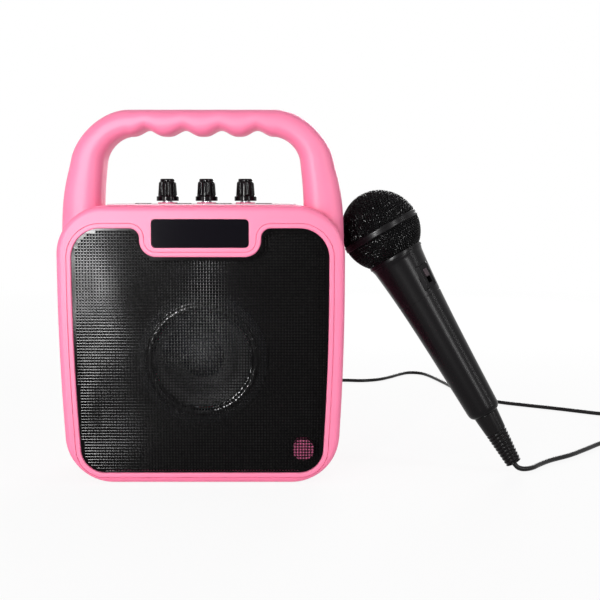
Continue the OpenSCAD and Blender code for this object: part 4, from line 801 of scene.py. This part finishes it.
def flute_limit(a):
    """How far out the knob reaches at an angle, where the flutes are cut."""
    step = 2 * pi / FLUTES
    off = (a + step / 2) % step - step / 2
    if abs(FLUTE_AT * sin(off)) >= FLUTE_R:
        return inf
    return FLUTE_AT * cos(off) - sqrt(FLUTE_R ** 2 - (FLUTE_AT * sin(off)) ** 2)


def knob(name, x):
    rings = []
    for r, z, cut in KNOB_PROFILE:
        ring = []
        for k in range(KNOB_SIDES):
            a = 2 * pi * k / KNOB_SIDES
            limit = flute_limit(a)
            reach = r if limit > r or not cut else r + (limit - r) * cut
            ring.append((reach * cos(a), reach * sin(a), z))
        rings.append(ring)
    place = Matrix.Translation((x, KNOB_Y, KNOB_Z))
    mark = box_points(Shape(place), -MARK_HALF_W, MARK_HALF_W, -0.3, 8.9,
                      KNOB_H - MARK_DEEP, KNOB_H + MARK_DEEP)
    mesh = combined(Shape(place).wall(rings).mesh(), mark.mesh(), "DIFFERENCE")
    piece("knob_cap_" + name, mesh, knob_black, name, ["knob_" + name], sharp=40)


for name, x in (("mic_volume", -KNOB_PITCH), ("echo", 0), ("music_volume", KNOB_PITCH)):
    knob(name, x)

# ---- driver's soft ring --------------------------------------------------------------------------

ROLL_R, ROLL_HALF_W, ROLL_H, ROLL_Z = 32.72, 1.95, 1.35, -2.25
roll = [(ROLL_R + ROLL_HALF_W * cos(radians(a)), ROLL_Z - ROLL_H * sin(radians(a)))
        for a in range(0, 181, 15)]
surround = Shape(Matrix.Translation((0, JOIN_Y, DRIVER_Z)) @ Matrix.Rotation(radians(-90), 4, "X"))
surround.turned([(30.0, -1.7), (35.3, -1.7), (35.3, -2.15), (34.9, ROLL_Z)] + roll
                + [(30.5, ROLL_Z), (30.0, -2.15)], 128, loop=True)
piece("surround_roll", surround.mesh(), surround_rubber, "casing", ["driver_surround"])

# ---- microphone ----------------------------------------------------------------------------------

WIRE_PITCH, WIRE_R, WIRE_LIFT, WIRE_SIDES, WEAVE_GAP, SKIRT_WIRES = 1.5, 0.27, 0.2, 5, 0.1, 76
MESH_R = HEAD_R - 0.45
chance = Random(5)


def over_under(parity):
    return WIRE_LIFT if parity % 2 else -WIRE_LIFT


def wire(shape, path):
    """A woven wire, whose facets lie unevenly."""
    tube(shape, path, WIRE_R, WIRE_SIDES, end_caps=False, turns=[chance.uniform(0, 1.25) for _ in path])


# Upper half: a square weave laid over the dome, its two directions at 45 degrees to the lean.
# The wires cross at the even points and are level at the odd ones
upper = Shape(ON_MIC)
reach = acos((BAND_W / 2 + WEAVE_GAP) / HEAD_R) * HEAD_R
count = int(reach / WIRE_PITCH)
turn45 = Matrix.Rotation(radians(45), 2)
for family in (0, 1):
    for i in range(-count, count + 1):
        path = []
        u = i * WIRE_PITCH
        limit = reach ** 2 - u * u
        if limit <= 1:
            continue
        k_most = int(sqrt(limit) / WIRE_PITCH * 2)
        for k in range(-k_most, k_most + 1):
            v = k * WIRE_PITCH / 2
            r = MESH_R + (over_under(i + k // 2 + family) if k % 2 == 0 else 0.0)
            flat_place = turn45 @ Vector((u, v) if family == 0 else (v, u))
            away = flat_place.length / HEAD_R
            direction = flat_place.normalized() if flat_place.length else Vector((1, 0))
            high = BAND_W / 2 + (cos(away) * r - BAND_W / 2) * DOME_STRETCH
            path.append(Vector((direction.x * sin(away) * r, direction.y * sin(away) * r, high)))
        if len(path) > 2:
            wire(upper, path)
piece("mesh_dome", upper.mesh(merge=0), mesh_paint, "microphone", ["mic_head_upper"], sharp=30,
      weighted=False)

# Lower zone: two families of slanting wires between the band and the collar
lower = Shape(ON_MIC)
a_top, a_end = asin(-(BAND_W / 2 + WEAVE_GAP) / HEAD_R), asin(-(COLLAR_S + WEAVE_GAP) / HEAD_R)
steps = int((a_top - a_end) * HEAD_R / (WIRE_PITCH / sqrt(2)) * 2)
for family in (1, -1):
    for i in range(SKIRT_WIRES):
        path = []
        for k in range(steps + 1):
            lat = a_top + (a_end - a_top) * k / steps
            lon = 2 * pi * i / SKIRT_WIRES + family * pi / SKIRT_WIRES * k / 2
            r = MESH_R + (over_under(k // 2) * family if k % 2 == 0 else 0.0)
            path.append(Vector((cos(lon) * cos(lat) * r, sin(lon) * cos(lat) * r, sin(lat) * r)))
        wire(lower, path)
piece("mesh_skirt", lower.mesh(merge=0), mesh_paint, "microphone", ["mic_head_lower"], sharp=30,
      weighted=False)

# The band round the head
half_band = [(BAND_R - 0.12, 0.35), (BAND_R, 0.5), (BAND_R, 1.4), (BAND_R - 0.05, 1.65), (BAND_R - 0.25, 1.9),
             (BAND_R - 0.6, 2.0), (BAND_R - 1.6, 2.0)]
head_band = Shape(ON_MIC).turned([(r, -z) for r, z in reversed(half_band)] + half_band, 160, loop=True)
piece("head_band", head_band.mesh(), gloss_black, "microphone", ["mic_band"])


def barrel_radius(s):
    t = (s - BARREL_S) / (BARREL_END_S - BARREL_S)
    return BARREL_END_R + (BARREL_R - BARREL_END_R) * (0.35 * (1 - t) ** 4 + 0.65 * (1 - t))


# The barrel: its rounded end, its sides with a fine groove round them, and the collar
STATIONS, SIDE_L, BARREL_GROOVE_S = 40, BARREL_END_S - 4 - BARREL_S, 50
profile = [(0, -BARREL_END_S)] + [(BARREL_END_R - inward, up - BARREL_END_S) for inward, up in (
    (3, 0), (1.5, 0.25), (0.8, 0.9), (0.25, 1.9), (0, 3))]
for i in range(STATIONS, -1, -1):
    s = BARREL_S + SIDE_L * i / STATIONS
    profile.append((barrel_radius(s), -s))
    if s > BARREL_GROOVE_S >= s - SIDE_L / STATIONS:
        profile += [(barrel_radius(BARREL_GROOVE_S + more) - deep, -BARREL_GROOVE_S - more)
                    for more, deep in ((0.35, 0), (0.2, 0.12), (-0.1, 0.12), (-0.25, 0))]
profile += [(17.3, -21.9), (17.6, -21.0), (17.75, -20.3), (17.8, -19.9), (18.25, -19.75),
            (18.35, -19.6), (18.35, -17.9), (18.2, -17.65), (17.9, -17.6), (0, -17.6)]
barrel = Shape(ON_MIC).turned(profile, 128).mesh()
SWITCH_S0, SWITCH_S1, SWITCH_TURN = 31.2, 46.2, 50
SLOT_W, SLOT_L, SLOT_R, SLOT_DEEP, SLOT_CUT = 3.4, 9.6, 0.4, 1.2, 6
ON_SWITCH = ON_MIC @ Matrix.Rotation(radians(SWITCH_TURN - 90), 4, "Z")


def plate_ring(up, half_w, more, r):
    """A level of the plate round the switch, which lies along the barrel's slope."""
    low, high = -SWITCH_S1 - more, -SWITCH_S0 + more
    ring = rounded_box(2 * half_w, high - low, r, 0, (high + low) / 2, 5)
    slope = (barrel_radius(SWITCH_S0) - barrel_radius(SWITCH_S1)) / (SWITCH_S1 - SWITCH_S0)
    return [(barrel_radius(SWITCH_S1) + up + slope * (b + SWITCH_S1), a, b) for a, b in ring]


rings = [plate_ring(*level) for level in (
    (-1.8, 6.3, 1.0, 0.8), (0.65, 4.35, 0.1, 0.8), (0.76, 4.15, 0, 0.8), (0.8, 3.9, -0.3, 0.6))]
plate = Shape(ON_SWITCH).solid(rings)
slot_outline = rounded_box(SLOT_W, SLOT_L, SLOT_R, 0, -(SWITCH_S0 + SWITCH_S1) / 2, 5)
slot_floor = barrel_radius(SWITCH_S1) - SLOT_DEEP
slot_tool = Shape(ON_SWITCH).solid([[(x, a, b) for a, b in slot_outline]
                                    for x in (slot_floor, slot_floor + SLOT_CUT)])
barrel = combined(barrel, plate.mesh(), "UNION")
barrel = combined(barrel, slot_tool.mesh(), "DIFFERENCE")
piece("barrel_body", barrel, gloss_black, "microphone", ["mic_barrel"], sharp=35)


def boot_radius(s):
    return BOOT_R + (BOOT_TIP_R - BOOT_R) * (s - BARREL_END_S) / (BOOT_END_S - BARREL_END_S)


# The boot, with ribs towards the lead
BOOT_RIBS, RIB_PITCH = 10, 2.4
profile = [(0, -BOOT_END_S), (BOOT_TIP_R - 0.6, -BOOT_END_S), (BOOT_TIP_R - 0.2, -BOOT_END_S + 0.2)]
for i in range(BOOT_RIBS):
    s = BOOT_END_S - RIB_PITCH * (i + 0.3)
    profile += [(boot_radius(s) - inward, up - s) for inward, up in (
        (0.05, -0.5), (0, -0.2), (0.15, 0.1), (0.55, 0.25), (0.6, 0.45), (0.6, 0.75), (0.5, 0.95),
        (0.1, 1.1), (0, 1.35))]
profile += [(BOOT_R - 0.05, -BARREL_END_S - 0.35), (BOOT_R - 0.3, -BARREL_END_S), (0, -BARREL_END_S)]
piece("boot_sleeve", Shape(ON_MIC).turned(profile, 64).mesh(), satin_black, "microphone",
      ["mic_boot"], sharp=50)


# ---- floor, surroundings and lamps ---------------------------------------------------------------

def light_path(tree):
    """1 for rays from the camera, from gloss and through glass, else 0."""
    path = tree.nodes.new("ShaderNodeLightPath")
    total = path.outputs["Is Camera Ray"]
    for name in ("Is Glossy Ray", "Is Transmission Ray"):
        most = tree.nodes.new("ShaderNodeMath")
        most.operation = "MAXIMUM"
        tree.links.new(total, most.inputs[0])
        tree.links.new(path.outputs[name], most.inputs[1])
        total = most.outputs[0]
    return total


# The floor shows white, and a little less so near the part, where it keeps the shadow
FLOOR_HALF, FLOOR_Z = 6, -0.0003
floor_mesh = bpy.data.meshes.new("floor")
floor_mesh.from_pydata([(x * FLOOR_HALF, y * FLOOR_HALF, 0) for x, y in ((-1, -1), (1, -1), (1, 1), (-1, 1))],
                       [], [(0, 1, 2, 3)])
floor = bpy.data.objects.new("floor", floor_mesh)
floor.location = (0, 0, FLOOR_Z)
scene.collection.objects.link(floor)
white = bpy.data.materials.new("floor_white")
white.use_nodes = True
tree = white.node_tree
tree.nodes.remove(tree.nodes["Principled BSDF"])
matt = tree.nodes.new("ShaderNodeBsdfDiffuse")
matt.inputs["Color"].default_value = (0.9, 0.9, 0.9, 1)
glow = tree.nodes.new("ShaderNodeEmission")
mix = tree.nodes.new("ShaderNodeMixShader")
far = tree.nodes.new("ShaderNodeVectorMath")
far.operation = "LENGTH"
tree.links.new(tree.nodes.new("ShaderNodeTexCoord").outputs["Object"], far.inputs[0])
fade = tree.nodes.new("ShaderNodeMapRange")
for socket, value in (("From Min", 0.35), ("From Max", 1.4), ("To Min", 0.9), ("To Max", 1.0)):
    fade.inputs[socket].default_value = value
tree.links.new(far.outputs["Value"], fade.inputs["Value"])
share = tree.nodes.new("ShaderNodeMath")
share.operation = "MULTIPLY"
tree.links.new(fade.outputs["Result"], share.inputs[1])
tree.links.new(light_path(tree), share.inputs[0])
tree.links.new(share.outputs[0], mix.inputs["Fac"])
tree.links.new(matt.outputs[0], mix.inputs[1])
tree.links.new(glow.outputs[0], mix.inputs[2])
tree.links.new(mix.outputs[0], tree.nodes["Material Output"].inputs["Surface"])
floor_mesh.materials.append(white)

world = bpy.data.worlds.new("surroundings")
scene.world = world
world.use_nodes = True
tree = world.node_tree
background = tree.nodes["Background"]
background.inputs["Color"].default_value = (1, 1, 1, 1)
level = tree.nodes.new("ShaderNodeMapRange")
level.inputs["To Min"].default_value = 0.3
level.inputs["To Max"].default_value = 1.0
tree.links.new(light_path(tree), level.inputs["Value"])
tree.links.new(level.outputs["Result"], background.inputs["Strength"])


def lamp(name, place, target, size, power, shine_only=False):
    """An area lamp. With shine_only it shows in reflections and lights no matt surface."""
    data = bpy.data.lights.new(name, "AREA")
    data.shape = "RECTANGLE"
    data.size, data.size_y = size
    data.energy = power
    made = bpy.data.objects.new(name, data)
    made.location = place
    made.visible_diffuse = not shine_only
    made.rotation_euler = (Vector(target) - Vector(place)).to_track_quat("-Z", "Y").to_euler()
    scene.collection.objects.link(made)


lamp("left_strip", (-0.23, -0.85, 0.26), (0, 0, 0.10), (0.06, 0.48), 3.7)
lamp("left_box", (-0.48, -0.50, 0.26), (0, 0, 0.10), (0.2, 0.4), 1.2)
lamp("top_box", (-0.20, -0.30, 1.0), (0, 0, 0.1), (0.45, 0.4), 0.9)
lamp("right_strip", (0.85, -0.30, 0.40), (0.1, 0, 0.1), (0.03, 0.6), 1.6)
lamp("back_box", (0.3, 1.1, 0.5), (0, 0, 0.1), (0.5, 0.5), 8.0)
lamp("left_shine", (-0.25, -0.86, 0.20), (0, 0, 0.10), (0.04, 0.40), 12, shine_only=True)
lamp("right_shine", (0.60, -0.70, 0.35), (0.1, 0, 0.1), (0.05, 0.5), 5, shine_only=True)
